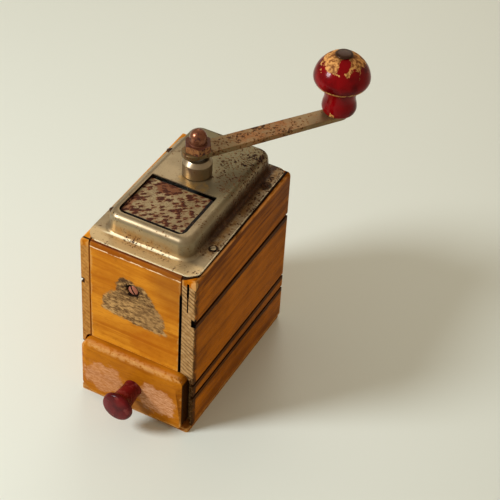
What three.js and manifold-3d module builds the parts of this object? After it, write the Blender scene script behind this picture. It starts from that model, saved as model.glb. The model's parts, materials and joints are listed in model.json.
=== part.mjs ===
// An old wooden box coffee grinder: a narrow box of two side boards with a front and a back panel,
// a drawer for the ground coffee, a pressed metal cover with a sprung bean lid, and a hand crank
// that turns a toothed cone inside a toothed ring.
//
// Millimetres. The origin is the centre of the box's underside, the drawer faces -Y, and +Z is up.

import * as THREE from 'three';
import { mergeVertices } from 'three/addons/utils/BufferGeometryUtils.js';
import Module from 'manifold-3d';

const wasm = await Module();
wasm.setup();

// Driving dimensions: the wooden box
const caseWidth = 79.2;
const caseDepth = 120.4;
const caseHeight = 125;
const leftBoardThickness = 5.6;
const rightBoardThickness = 9.2;
const panelThickness = 8;
const panelSideGap = 1;
const leftRebateWall = 1.4;
const rightRebateWall = 1.7;
const baseThickness = 3.1;
const bayHeight = 45.3;
const shelfHeight = 46;
const shelfThickness = 6;
const edgeRound = 3.5;
const rearRound = 1;

// Driving dimensions: the pressed cover, its dome and the bean opening
const sheet = 0.9;
const coverFrontInset = 1.4;
const coverBackInset = 0.7;
const coverRightInset = 2.9;
const coverRise = 14.5;
const domeFrontFlange = 10.3;
const domeBackFlange = 1.4;
const domeLeftFlange = 8.95;
const domeRightFlange = 8.35;
const domeDraft = 1.2;
const domeShoulder = 4;
const coverSkew = 2;
const openingLeftBorder = 5.4;
const openingRightBorder = 7.75;
const openingBushGap = 5.5;

// Driving dimensions: the grinding set, the spindle and the crank
const millBackGap = 8.7;
const burrRadius = 23;
const burrFlangeRadius = 30.3;
const burrHeight = 32;
const grindRadius = 18.6;
const grindGap = 0.8;
const spindleRadius = 5;
const neckRadius = 3.8;
const bushRadius = 9.3;
const bushHeight = 11.9;
const armRise = 14.6;
const armThickness = 3.5;
const crankReach = 97.3;
const crankTurn = THREE.MathUtils.degToRad(55);
const knobHeight = 42;
const knobRadius = 17.95;

// Driving dimensions: the drawer
const lipThickness = 9.8;
const rebateDepth = 4;
const drawerBackGap = 3.1;
const drawerHeight = 34;
const drawerWall = 5;
const drawerKnobHeight = 23;
const drawerKnobOffset = 2.6;

// Clearances: between fixed pieces, round fixed shanks, at running fits and round the drawer
const seatGap = 0.1;
const shankGap = 0.25;
const turnGap = 0.3;
const slideGap = 0.5;
const overrun = 1;

// Places worked out from the driving dimensions
const caseLeft = -caseWidth / 2;
const caseRight = caseWidth / 2;
const caseFront = -caseDepth / 2;
const caseBack = caseDepth / 2;
const cavityLeft = caseLeft + leftBoardThickness;
const cavityRight = caseRight - rightBoardThickness;
const cavityFront = caseFront + panelThickness;
const cavityBack = caseBack - panelThickness;
const cavityHalf = (cavityRight - cavityLeft) / 2;
const millX = (cavityLeft + cavityRight) / 2;
const millY = cavityBack - burrFlangeRadius - millBackGap;
const shelfTop = shelfHeight + shelfThickness;
const coverUnder = caseHeight + seatGap;
const flangeTop = coverUnder + sheet;
const domeTop = caseHeight + coverRise;
const domeUnder = domeTop - sheet;
const armUnder = domeTop + armRise;
const armTop = armUnder + armThickness;

// Facets round a turned piece, by its size
const wideSides = 36;
const plainSides = 28;
const smallSides = 14;

// Materials
const finish = (color, roughness, metalness) => () =>
  new THREE.MeshStandardMaterial({ color, roughness, metalness });
const varnishedWood = finish(0xb5772f, 0.45, 0);
const plainWood = finish(0xc49a62, 0.7, 0);
const redPaint = finish(0x7a0f12, 0.2, 0);
const maroonPaint = finish(0x5a1518, 0.3, 0);
const nickel = finish(0xb9b09a, 0.35, 0.9);
const rustySteel = finish(0x8a6f4c, 0.6, 0.8);
const brownedSteel = finish(0x6b3326, 0.4, 0.7);
const brightSteel = finish(0x9a9a98, 0.4, 0.9);
const castIron = finish(0x4b4a48, 0.6, 0.7);

// A closed geometry as a solid, and a solid as a geometry again
function solidOf(geometry) {
  const bare = geometry.clone();
  bare.deleteAttribute('normal');
  bare.deleteAttribute('uv');
  const { index, attributes: { position } } = mergeVertices(bare);
  const corners = [new THREE.Vector3(), new THREE.Vector3(), new THREE.Vector3()];
  const triangles = [];
  let volume = 0;
  for (let i = 0; i < index.count; i += 3) {
    const face = [index.getX(i), index.getX(i + 1), index.getX(i + 2)];
    if (new Set(face).size < 3) continue;
    triangles.push(face);
    face.forEach((vertex, k) => corners[k].fromBufferAttribute(position, vertex));
    volume += corners[0].dot(corners[1].cross(corners[2]));
  }
  if (volume < 0) triangles.forEach((face) => face.reverse());
  return new wasm.Manifold(new wasm.Mesh({
    numProp: 3,
    vertProperties: new Float32Array(position.array),
    triVerts: new Uint32Array(triangles.flat()),
  }));
}

function geometryOf(solid) {
  const { numProp, vertProperties, triVerts } = solid.getMesh();
  const places = [];
  for (let i = 0; i < vertProperties.length; i += numProp) {
    places.push(...vertProperties.slice(i, i + 3));
  }
  const geometry = new THREE.BufferGeometry();
  geometry.setAttribute('position', new THREE.Float32BufferAttribute(places, 3));
  geometry.setIndex([...triVerts]);
  geometry.computeVertexNormals();
  return geometry;
}

function combined(step, first, others) {
  return geometryOf(others.reduce((sum, next) => step(sum, solidOf(next)), solidOf(first)));
}

const joined = (first, ...others) => combined((a, b) => a.add(b), first, others);
const cut = (first, ...others) => combined((a, b) => a.subtract(b), first, others);
const shared = (first, ...others) => combined((a, b) => a.intersect(b), first, others);
const moved = (geometry, x, y, z) => geometry.clone().translate(x, y, z);

// A block between two corners
function block(x0, x1, y0, y1, z0, z1) {
  const geometry = new THREE.BoxGeometry(x1 - x0, y1 - y0, z1 - z0);
  return geometry.translate((x0 + x1) / 2, (y0 + y1) / 2, (z0 + z1) / 2);
}

// A round post standing along Z
function post(radius, z0, z1, sides = smallSides) {
  const geometry = new THREE.CylinderGeometry(radius, radius, z1 - z0, sides);
  return geometry.rotateX(Math.PI / 2).translate(0, 0, (z0 + z1) / 2);
}

// A profile of radius and height pairs, turned round Z
function turned(profile, sides = plainSides) {
  const points = profile.map(([radius, height]) => new THREE.Vector2(radius, height));
  return new THREE.LatheGeometry(points, sides).rotateX(Math.PI / 2);
}

// What stands along Z, laid along X or turned to face the front
const laidAlongX = (geometry) => geometry.clone().rotateY(Math.PI / 2);
const facingFront = (geometry) => geometry.clone().rotateX(Math.PI / 2);

// An outline in X and Y, raised from z0 to z1
function raised(shape, z0, z1, curveSegments = 6) {
  const settings = { depth: z1 - z0, bevelEnabled: false, curveSegments };
  return new THREE.ExtrudeGeometry(shape, settings).translate(0, 0, z0);
}

// An outline in X and Z, drawn out along Y
const alongY = (shape, y0, y1) => raised(shape, -y1, -y0).rotateX(Math.PI / 2);

// An outline in Y and Z, drawn out along X
const alongX = (shape, x0, x1) => raised(shape, x0, x1).rotateX(Math.PI / 2).rotateZ(Math.PI / 2);

// Rings of points, each anticlockwise seen from above, skinned from the first to the last
function lofted(rings) {
  const count = rings[0].length;
  const places = rings.flat().flatMap((point) => point.toArray());
  const index = [];
  for (let i = 0; i < rings.length - 1; i += 1) {
    for (let j = 0; j < count; j += 1) {
      const [a, b] = [i * count + j, i * count + ((j + 1) % count)];
      index.push(a, b, b + count, a, b + count, a + count);
    }
  }
  [[0, true], [rings.length - 1, false]].forEach(([i, below]) => {
    const middle = new THREE.Vector3();
    rings[i].forEach((point) => middle.addScaledVector(point, 1 / count));
    const centre = places.length / 3;
    places.push(...middle.toArray());
    for (let j = 0; j < count; j += 1) {
      const [a, b] = [i * count + j, i * count + ((j + 1) % count)];
      index.push(centre, below ? b : a, below ? a : b);
    }
  });
  const geometry = new THREE.BufferGeometry();
  geometry.setAttribute('position', new THREE.Float32BufferAttribute(places, 3));
  geometry.setIndex(index);
  return geometry;
}

// A rounded rectangle as a ring, its corner radii given anticlockwise from the rear right
function boxRing({ x0, x1, y0, y1, radii, z = 0, steps = 5 }) {
  const [rearRight, rearLeft, frontLeft, frontRight] = radii;
  const centres = [
    [x1 - rearRight, y1 - rearRight, rearRight],
    [x0 + rearLeft, y1 - rearLeft, rearLeft],
    [x0 + frontLeft, y0 + frontLeft, frontLeft],
    [x1 - frontRight, y0 + frontRight, frontRight],
  ];
  return centres.flatMap(([x, y, radius], quarter) =>
    Array.from({ length: steps + 1 }, (_, step) => {
      const angle = (quarter + step / steps) * Math.PI / 2;
      return new THREE.Vector3(x + radius * Math.cos(angle), y + radius * Math.sin(angle), z);
    }));
}

const allCorners = (radius) => Array(4).fill(radius);
const shapeOf = (ring) => new THREE.Shape(ring.map((point) => new THREE.Vector2(point.x, point.y)));

// A slotted screw or a nail standing on its point, its head's underside at the origin
function fastener({ shank, length, headRadius, headHeight, slotWidth, slotDepth }) {
  const pointShare = 0.75;
  const rimShare = 0.35;
  const crownShare = 0.6;
  const body = turned([
    [0, -length],
    [shank, -length * pointShare],
    [shank, 0],
    [headRadius, 0],
    [headRadius, headHeight * rimShare],
    [headRadius * crownShare, headHeight],
    [0, headHeight],
  ], smallSides);
  if (!slotWidth) return body;
  const reach = headRadius + overrun;
  const slot = block(-reach, reach, -slotWidth / 2, slotWidth / 2,
    headHeight - slotDepth, headHeight + overrun);
  return cut(body, slot);
}

// The scene graph: the mill's axis and the crank carry groups of their own
const model = new THREE.Group();
const mill = new THREE.Group();
const crank = new THREE.Group();
mill.position.set(millX, millY, 0);
crank.rotation.z = crankTurn;
model.add(mill);
mill.add(crank);

function add(group, name, geometry, material, place = [0, 0, 0], turn = 0) {
  const mesh = new THREE.Mesh(geometryOf(solidOf(geometry)), material());
  mesh.name = name;
  mesh.position.set(...place);
  mesh.rotation.z = turn;
  group.add(mesh);
}

// The base board, nailed up into the side boards, shows its front edge under the drawer
const baseNail = { shank: 1.1, length: 14, headRadius: 2.4, headHeight: 0.8 };
const baseNailSink = 0.3;
const baseNailAlongShare = 0.34;
const baseNails = [caseLeft + leftBoardThickness / 2, caseRight - rightBoardThickness / 2]
  .flatMap((x) => [-1, 1].map((end) => [x, end * caseDepth * baseNailAlongShare]));

function addBase() {
  const sideInset = 0.6;
  const frontReach = 3.6;
  const cornerRadius = 1.5;
  const ring = boxRing({
    x0: caseLeft + sideInset,
    x1: caseRight - sideInset,
    y0: caseFront - frontReach,
    y1: caseBack,
    radii: allCorners(cornerRadius),
  });
  const seat = post(baseNail.headRadius + shankGap, -overrun,
    baseNailSink + baseNail.headHeight + seatGap);
  const hole = post(baseNail.shank + shankGap, -overrun, baseThickness + overrun);
  const tools = baseNails.flatMap(([x, y]) => [moved(seat, x, y, 0), moved(hole, x, y, 0)]);
  const board = cut(raised(shapeOf(ring), 0, baseThickness), ...tools);
  add(model, 'base_board', board, varnishedWood);
  const nail = fastener(baseNail).rotateX(Math.PI);
  baseNails.forEach((place, i) => {
    const z = baseNailSink + baseNail.headHeight;
    add(model, `base_nail_${i + 1}`, nail, brightSteel, [...place, z]);
  });
}

// The cover's screws stand in the side boards; each place is shares of the board and the box
const coverScrew = {
  shank: 1.4, length: 12, headRadius: 2.6, headHeight: 0.8, slotWidth: 0.7, slotDepth: 0.4,
};
const coverScrewShares = [
  { board: 'left', across: 0.5, along: -0.249, slot: 0.1 },
  { board: 'left', across: 0.5, along: 0.32, slot: 0.35 },
  { board: 'right', across: 0.61, along: -0.249, slot: 0.2 },
  { board: 'right', across: 0.79, along: 0.32, slot: -0.15 },
];
const coverScrewPlaces = coverScrewShares.map(({ board, across, along }) => {
  const x = board === 'left' ? caseLeft + leftBoardThickness * across
    : caseRight - rightBoardThickness * across;
  return [x, caseDepth * along];
});

// The side boards: three grooves run from front to back along the outer face of each, two thin
// ones low down and a wider one above, at shares of the box's height
const grooveDepth = 1.3;
const thinGroove = 2;
const wideGroove = 2.5;
const grooveHeightShares = [0.224, 0.309, 0.726];
const grooves = [thinGroove, thinGroove, wideGroove].map((width, i) => (
  { width, height: caseHeight * grooveHeightShares[i] }
));

function boardSection(inner, outer) {
  const side = Math.sign(outer - inner);
  const bottom = baseThickness + seatGap;
  const shape = new THREE.Shape();
  shape.moveTo(inner, bottom);
  shape.lineTo(outer, bottom);
  grooves.forEach(({ height, width }) => {
    shape.lineTo(outer, height - width / 2);
    shape.lineTo(outer - side * grooveDepth, height - width / 2);
    shape.lineTo(outer - side * grooveDepth, height + width / 2);
    shape.lineTo(outer, height + width / 2);
  });
  shape.lineTo(outer, caseHeight - edgeRound);
  shape.quadraticCurveTo(outer, caseHeight, outer - side * edgeRound, caseHeight);
  shape.lineTo(inner, caseHeight);
  return shape;
}

// A board seen from the side, with its top edge rounded at the front, the back or both
function sideView({ y0, y1, z0, z1, front = 0, back = 0 }) {
  const shape = new THREE.Shape();
  shape.moveTo(y0, z0);
  shape.lineTo(y1, z0);
  shape.lineTo(y1, z1 - back);
  if (back) shape.quadraticCurveTo(y1, z1, y1 - back, z1);
  shape.lineTo(y0 + front, z1);
  if (front) shape.quadraticCurveTo(y0, z1, y0, z1 - front);
  return shape;
}

// The rebate behind the drawer's front: it leaves a thin outer wall and ends in a rounded top
function rebateTool(inner, wallInside) {
  const topGap = 1.5;
  const top = bayHeight + topGap;
  const roundHeight = 11;
  const side = Math.sign(wallInside - inner);
  const shape = new THREE.Shape();
  shape.moveTo(inner - side * overrun, 0);
  shape.lineTo(wallInside, 0);
  shape.lineTo(wallInside, top - roundHeight);
  shape.quadraticCurveTo(wallInside, top, inner, top);
  shape.lineTo(inner - side * overrun, top);
  return alongY(shape, caseFront - overrun, caseFront + rebateDepth);
}

function addSideBoard(name, inner, outer, wall) {
  const side = Math.sign(outer);
  const ends = [inner - side * overrun, outer + side * overrun].sort((a, b) => a - b);
  const view = sideView({
    y0: caseFront, y1: caseBack, z0: 0, z1: caseHeight, front: edgeRound, back: rearRound,
  });
  const blank = shared(alongY(boardSection(inner, outer), caseFront, caseBack), alongX(view, ...ends));
  const screwHole = post(coverScrew.shank + shankGap,
    caseHeight - coverScrew.length - overrun, caseHeight + overrun);
  const nailHole = post(baseNail.shank + shankGap, 0,
    baseNailSink + baseNail.headHeight + baseNail.length + overrun);
  const onSide = (places) => places.filter(([x]) => x * side > 0);
  add(model, name, cut(
    blank,
    rebateTool(inner, outer - side * wall),
    ...onSide(coverScrewPlaces).map(([x, y]) => moved(screwHole, x, y, 0)),
    ...onSide(baseNails).map(([x, y]) => moved(nailHole, x, y, 0)),
  ), varnishedWood);
}

// The front panel stands above the drawer; a short screw sits in a wide countersink near its top
const panelTop = caseHeight - turnGap;
const panelScrew = {
  shank: 1.6, length: 6, headRadius: 3.5, headHeight: 1.4, slotWidth: 0.9, slotDepth: 0.7,
};
const panelScrewHeight = 98;
const panelScrewOffset = -1.5;
const panelScrewSink = 1.6;

function addPanels() {
  const bottomEase = 0.8;
  const left = cavityLeft + panelSideGap;
  const right = cavityRight - panelSideGap;
  const view = sideView({
    y0: caseFront, y1: cavityFront, z0: bayHeight, z1: panelTop, front: edgeRound,
  });
  const easing = block(left - overrun, right + overrun, -bottomEase, bottomEase,
    -bottomEase, bottomEase).rotateX(Math.PI / 4).translate(0, caseFront, bayHeight);
  const place = [millX + panelScrewOffset, caseFront + panelScrewSink, panelScrewHeight];
  const countersink = turned([
    [0, -seatGap],
    [panelScrew.headRadius + turnGap, -seatGap],
    [panelScrew.headRadius + panelScrewSink, panelScrewSink + overrun],
    [0, panelScrewSink + overrun],
  ]);
  const hole = post(panelScrew.shank + shankGap, -panelScrew.length - turnGap, 0);
  const tools = [countersink, hole].map((tool) => facingFront(tool).translate(...place));
  add(model, 'front_panel', cut(alongX(view, left, right), easing, ...tools), varnishedWood);
  add(model, 'panel_screw', facingFront(fastener(panelScrew)), brownedSteel, place);

  const backView = sideView({
    y0: cavityBack, y1: caseBack, z0: baseThickness + seatGap, z1: panelTop, back: rearRound,
  });
  const back = alongX(backView, cavityLeft + seatGap, cavityRight - seatGap);
  add(model, 'back_panel', back, varnishedWood);
}

// The mill stands on a shelf over a round hole that the ground coffee falls through
const chuteRadius = 20;
const burrFlangeHeight = 3;
const burrScrew = {
  shank: 1.6, length: 8, headRadius: 3.1, headHeight: 1.7, slotWidth: 0.8, slotDepth: 0.8,
};
const burrScrewCircle = (burrRadius + burrFlangeRadius) / 2;
const burrScrewPlaces = [0, 1, 2].map((i) => {
  const angle = Math.PI / 2 + i * 2 * Math.PI / 3;
  return [burrScrewCircle * Math.cos(angle), burrScrewCircle * Math.sin(angle)];
});
const bridgeScrew = {
  shank: 1.7, length: 7, headRadius: 3.3, headHeight: 1.7, slotWidth: 0.8, slotDepth: 0.8,
};
const bridgeThickness = 2.3;
const bridgeWidth = 14;
const bridgeEnd = 29;
const bridgeScrewPlaces = [-1, 1].map((side) => [side * (chuteRadius + bridgeEnd) / 2, 0]);

function addShelf() {
  const below = shelfHeight - overrun;
  const above = shelfTop + overrun;
  const burrHole = post(burrScrew.shank + shankGap, below, above);
  const bridgeHole = post(bridgeScrew.shank + shankGap, below,
    shelfHeight + bridgeScrew.length - bridgeThickness + overrun);
  const inMill = (tool, x, y) => moved(tool, millX + x, millY + y, 0);
  const board = block(cavityLeft + seatGap, cavityRight - seatGap,
    cavityFront + seatGap, cavityBack - seatGap, shelfHeight, shelfTop);
  add(model, 'mill_shelf', cut(
    board,
    inMill(post(chuteRadius, below, above, wideSides), 0, 0),
    ...burrScrewPlaces.map((place) => inMill(burrHole, ...place)),
    ...bridgeScrewPlaces.map((place) => inMill(bridgeHole, ...place)),
  ), plainWood);
}

// The pressed cover: a flat flange round a dome with drawn-in sides and a rounded shoulder
const coverLeft = caseLeft - seatGap;
const coverRight = caseRight - coverRightInset;
const coverFront = caseFront + coverFrontInset;
const coverBack = caseBack - coverBackInset;
const domeLeft = coverLeft + domeLeftFlange;
const domeRight = coverRight - domeRightFlange;
const domeBack = coverBack - domeBackFlange;
const domeFront = coverFront + domeFrontFlange;
const domeCorner = 8;

// The pressing is out of square: its left side leans inwards towards the rear
const skewed = (ring) => ring.map((point) => {
  const share = (point.y - coverFront) / (coverBack - coverFront);
  return point.x < millX ? point.setX(point.x + coverSkew * share) : point;
});

function domeRing(inset, z) {
  return skewed(boxRing({
    x0: domeLeft + inset,
    x1: domeRight - inset,
    y0: domeFront + inset,
    y1: domeBack - inset,
    radii: allCorners(domeCorner - inset),
    z,
  }));
}

function domeRings(offset, bottom, footRound) {
  const steps = 4;
  const radius = domeShoulder - offset;
  const shoulderCentre = domeTop - domeShoulder;
  const rings = [domeRing(offset - footRound, bottom), domeRing(offset, bottom + footRound)];
  for (let step = 0; step <= steps; step += 1) {
    const angle = step / steps * Math.PI / 2;
    const inset = domeDraft + offset + radius * (1 - Math.cos(angle));
    rings.push(domeRing(inset, shoulderCentre + radius * Math.sin(angle)));
  }
  return rings;
}

// The bean opening starts where the dome's front shoulder ends
const flatFront = domeFront + domeDraft + domeShoulder;
const openingLip = 0.4;
const openingFront = flatFront + openingLip;
const openingBack = millY - bushRadius - openingBushGap;
const openingLeft = domeLeft + openingLeftBorder;
const openingRight = domeRight - openingRightBorder;

// The lid lies under the dome's top, and a step takes it down to its hinge pin, which two ears hold
const lidDrop = 2;
const lidStep = 1.5;
const lidPinRadius = 1;
const lidRollRadius = 2;
const lidTop = domeTop - lidDrop;
const lidPinY = flatFront;
const lidPinZ = lidTop - lidStep - lidRollRadius;
const earThickness = 1;
const earGap = 0.6;

const bushNeck = 7;

function addCover() {
  const flangeCorner = 9;
  const rearRightCorner = 4.5;
  const footRound = 1.2;
  const openingCorner = 5;
  const rearCorner = 0.8;
  const flange = raised(shapeOf(skewed(boxRing({
    x0: coverLeft,
    x1: coverRight,
    y0: coverFront,
    y1: coverBack,
    radii: [rearRightCorner, flangeCorner, flangeCorner, flangeCorner],
  }))), coverUnder, flangeTop);
  const opening = raised(shapeOf(skewed(boxRing({
    x0: openingLeft,
    x1: openingRight,
    y0: openingFront,
    y1: openingBack,
    radii: [rearCorner, rearCorner, openingCorner, openingCorner],
  }))), domeUnder - overrun, domeTop + overrun);
  const hollow = lofted(domeRings(sheet, coverUnder - overrun, 0));
  const screwHole = post(coverScrew.shank + shankGap, coverUnder - overrun, flangeTop + overrun);
  const shell = cut(
    joined(flange, lofted(domeRings(0, flangeTop - sheet / 2, footRound))),
    hollow,
    opening,
    moved(post(bushNeck + turnGap, domeUnder - overrun, domeTop + overrun, plainSides),
      millX, millY, 0),
    ...coverScrewPlaces.map(([x, y]) => moved(screwHole, x, y, 0)),
  );
  const ears = [openingLeft - earThickness - earGap, openingRight + earGap].map((x) =>
    block(x, x + earThickness, lidPinY - lidRollRadius, lidPinY + lidRollRadius,
      lidPinZ - lidRollRadius, domeUnder + sheet / 2));
  const pinHole = laidAlongX(post(lidPinRadius + shankGap, coverLeft, coverRight))
    .translate(0, lidPinY, lidPinZ);
  add(model, 'top_cover', cut(joined(shell, ...ears), pinHole), nickel);
  coverScrewPlaces.forEach(([x, y], i) => {
    const place = [x, y, flangeTop + seatGap];
    const turn = coverScrewShares[i].slot * Math.PI;
    add(model, `cover_screw_${i + 1}`, fastener(coverScrew), nickel, place, turn);
  });
}

// The bean lid is a sheet rolled round the hinge pin, which a spring holds up against the dome
const lidLeftGap = 0.6;
const lidRightGap = 1.2;
const lidRearGap = 1.7;
const lidLeft = openingLeft + lidLeftGap;
const lidRight = openingRight - lidRightGap;
const lidSheet = 1;
const springWire = 0.4;
const springTurns = 5;
const springPitch = 1.3;
const springSpace = springTurns * springPitch + (springWire + turnGap) * 2;

function addLid() {
  const rearCorner = 1.5;
  const stepLength = 3.8;
  const stopStart = 9;
  const stopLength = 8;
  const stopReach = 0.9;
  const stepBack = lidPinY + stepLength;
  const plate = raised(shapeOf(boxRing({
    x0: lidLeft,
    x1: lidRight,
    y0: stepBack,
    y1: openingBack - lidRearGap,
    radii: [rearCorner, rearCorner, rearCorner, rearCorner],
  })), lidTop - lidSheet, lidTop);
  const stepTop = lidTop - lidStep;
  const tongue = block(lidLeft + rearCorner, lidRight - rearCorner, lidPinY, stepBack + lidSheet,
    stepTop - lidSheet, stepTop);
  const riser = block(lidLeft + rearCorner, lidRight - rearCorner, stepBack, stepBack + lidSheet,
    stepTop - lidSheet, lidTop);
  const stop = block(openingLeft - stopReach, openingRight + stopReach,
    lidPinY + stopStart, lidPinY + stopStart + stopLength, lidTop - lidSheet, domeUnder - turnGap);
  const between = block(lidLeft + lidSheet, lidRight - lidSheet, lidPinY, openingBack,
    lidPinZ, domeTop);
  const wings = cut(stop, between);
  const rollEnd = lidRight - springSpace;
  const roll = laidAlongX(post(lidRollRadius, lidLeft, rollEnd, plainSides));
  const bore = laidAlongX(post(lidPinRadius + shankGap, lidLeft - overrun, lidRight + overrun));
  const notch = block(rollEnd, lidRight + overrun, lidPinY - overrun,
    lidPinY + lidRollRadius + slideGap, lidPinZ, domeTop);
  const body = cut(
    joined(plate, riser, tongue, roll.translate(0, lidPinY, lidPinZ)),
    bore.translate(0, lidPinY, lidPinZ),
    notch,
  );
  add(model, 'bean_lid', joined(body, wings), rustySteel);
}

function addLidHinge() {
  const pinLeft = openingLeft - earThickness - earGap - turnGap;
  const pinRight = openingRight + earThickness + earGap + turnGap;
  const pin = laidAlongX(post(lidPinRadius, pinLeft, pinRight));
  add(model, 'lid_hinge_pin', pin, brightSteel, [0, lidPinY, lidPinZ]);
}

// The lid's spring: one wire from the dome's front wall, round the pin, to under the lid
function springPath() {
  const coilRadius = lidPinRadius + turnGap + springWire;
  const stepsPerTurn = 8;
  const wallLegDrop = 6;
  const wallLegLean = 1.4;
  const legCurveShare = 0.25;
  const lidLegReach = 10;
  const first = lidRight - turnGap - springWire;
  const at = (x, y, z) => new THREE.Vector3(x, y, z);
  const coil = Array.from({ length: springTurns * stepsPerTurn + stepsPerTurn / 4 + 1 }, (_, i) => {
    const angle = Math.PI + i / stepsPerTurn * 2 * Math.PI;
    const x = first - i / stepsPerTurn * springPitch;
    return at(x, coilRadius * Math.cos(angle), coilRadius * Math.sin(angle));
  });
  const last = coil[coil.length - 1];
  const lidUnder = lidTop - lidSheet - lidPinZ;
  return [
    at(first, -coilRadius - wallLegLean, -wallLegDrop),
    at(first, -coilRadius - wallLegLean * legCurveShare, -wallLegDrop / 2),
    ...coil,
    at(last.x, lidLegReach / 2, (last.z + lidUnder - springWire) / 2),
    at(last.x, lidLegReach, lidUnder - springWire - turnGap),
  ];
}

function addLidSpring() {
  const wireSides = 5;
  const path = springPath();
  const section = new THREE.Shape();
  for (let i = 0; i < wireSides; i += 1) {
    const angle = i / wireSides * 2 * Math.PI;
    const point = [springWire * Math.cos(angle), springWire * Math.sin(angle)];
    if (i) section.lineTo(...point);
    else section.moveTo(...point);
  }
  const wire = new THREE.ExtrudeGeometry(section, {
    steps: path.length - 1,
    extrudePath: new THREE.CatmullRomCurve3(path),
    bevelEnabled: false,
  });
  add(model, 'lid_spring', wire, brightSteel, [0, lidPinY, lidPinZ]);
}

// Under the dome a sheet hopper narrows from the box's inside to the toothed ring
const burrSeat = shelfTop + seatGap;
const burrTop = burrSeat + burrHeight;
const throatWall = 2;

function addHopper() {
  const wall = 1.2;
  const rimDrop = 0.4;
  const cornerRadius = 6;
  const rimWidth = 3;
  const rimEase = 0.2;
  const rimTop = caseHeight - rimDrop;
  const bottom = burrTop + seatGap;
  const mouth = burrRadius - throatWall / 2;
  const waistShares = [0, 0.25, 0.5, 0.75, 1];
  const ring = (share, inset, z) => {
    const radius = THREE.MathUtils.lerp(mouth, cornerRadius, share) - inset;
    const half = THREE.MathUtils.lerp(mouth, cavityHalf - rimEase - rimWidth / 2, share) - inset;
    const front = THREE.MathUtils.lerp(-mouth, cavityFront + rimEase + rimWidth / 2 - millY, share);
    const back = THREE.MathUtils.lerp(mouth, cavityBack - rimEase - rimWidth / 2 - millY, share);
    const radii = allCorners(radius);
    return boxRing({ x0: -half, x1: half, y0: front + inset, y1: back - inset, radii, z });
  };
  const height = (share) => THREE.MathUtils.lerp(bottom, rimTop - wall, share);
  const skin = (inset) => waistShares.map((share) => ring(share, inset, height(share)));
  const outside = lofted(skin(0));
  const inside = lofted([
    ring(0, wall, bottom - overrun),
    ...skin(wall),
    ring(1, wall, rimTop + overrun),
  ]);
  const rim = lofted([
    ring(1, -rimWidth / 2, rimTop - wall - seatGap),
    ring(1, -rimWidth / 2, rimTop),
  ]);
  add(mill, 'hopper_funnel', cut(joined(outside, rim), inside), brightSteel);
}

// A bush riveted through the dome guides the spindle
function addBush() {
  const bore = spindleRadius + shankGap;
  const chamfer = 2;
  const chamferHeight = 2.7;
  const rivetHeight = 1.7;
  const top = domeTop + bushHeight;
  const bush = turned([
    [bore, domeUnder - turnGap - rivetHeight],
    [bushRadius, domeUnder - turnGap - rivetHeight],
    [bushRadius, domeUnder - turnGap],
    [bushNeck, domeUnder - turnGap],
    [bushNeck, domeTop + turnGap],
    [bushRadius, domeTop + turnGap],
    [bushRadius, top - chamferHeight],
    [bushRadius - chamfer, top],
    [bore, top],
    [bore, domeUnder - turnGap - rivetHeight],
  ]);
  add(mill, 'upper_bearing_bush', bush, nickel);
}

// A ring of saw teeth; each tooth rises from its root and drops back over a short flank
function toothRing({ tip, root, teeth, turn, z }) {
  const crestShare = 0.72;
  return Array.from({ length: teeth * 2 }, (_, i) => {
    const angle = turn + (Math.floor(i / 2) + (i % 2 ? crestShare : 0)) / teeth * 2 * Math.PI;
    const radius = i % 2 ? tip : root;
    return new THREE.Vector3(radius * Math.cos(angle), radius * Math.sin(angle), z);
  });
}

// The toothed ring: beans enter a wide throat, and below its waist the bore opens again
const ringTeeth = 24;
const ringToothDepth = 1;
const ringTwist = THREE.MathUtils.degToRad(-35);
const waistShare = 0.55;
const waistNarrowing = 2.4;
const ringBore = (share) => {
  const slope = share < waistShare ? share / waistShare : (1 - share) / (1 - waistShare);
  const mouth = share < waistShare ? grindRadius : burrRadius - throatWall;
  return mouth - (mouth - grindRadius + waistNarrowing) * slope;
};

function addOuterBurr() {
  const heightShares = [0, 0.2, 0.4, waistShare, 0.7, 0.85, 1];
  const rings = heightShares.map((share) => toothRing({
    tip: ringBore(share) - ringToothDepth,
    root: ringBore(share),
    teeth: ringTeeth,
    turn: share * ringTwist,
    z: burrSeat + share * burrHeight,
  }));
  const extend = (ring, by) => ring.map((point) => point.clone().setZ(point.z + by));
  const last = rings[rings.length - 1];
  const bore = lofted([extend(rings[0], -overrun), ...rings, extend(last, overrun)]);
  const collarHeight = 4;
  const body = turned([
    [0, burrSeat],
    [burrFlangeRadius, burrSeat],
    [burrFlangeRadius, burrSeat + burrFlangeHeight],
    [burrRadius, burrSeat + burrFlangeHeight],
    [burrRadius, burrTop - collarHeight],
    [burrRadius + throatWall / 2, burrTop - collarHeight],
    [burrRadius + throatWall / 2, burrTop],
    [0, burrTop],
  ], wideSides);
  const hole = post(burrScrew.shank + shankGap, burrSeat - overrun, burrSeat + burrFlangeHeight + overrun);
  const holes = burrScrewPlaces.map(([x, y]) => moved(hole, x, y, 0));
  add(mill, 'outer_burr', cut(body, bore, ...holes), castIron);
  burrScrewPlaces.forEach(([x, y], i) => {
    const place = [x, y, burrSeat + burrFlangeHeight + seatGap];
    add(mill, `burr_screw_${i + 1}`, fastener(burrScrew), brightSteel, place, i);
  });
}

// The toothed cone on the spindle: deep spiral teeth at its nose, shallow ones at its skirt
const coneLift = 1.9;
const coneHeight = 26;
const noseRadius = 9;
const conePinHeight = 5;
const conePinRadius = 1.1;

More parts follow.
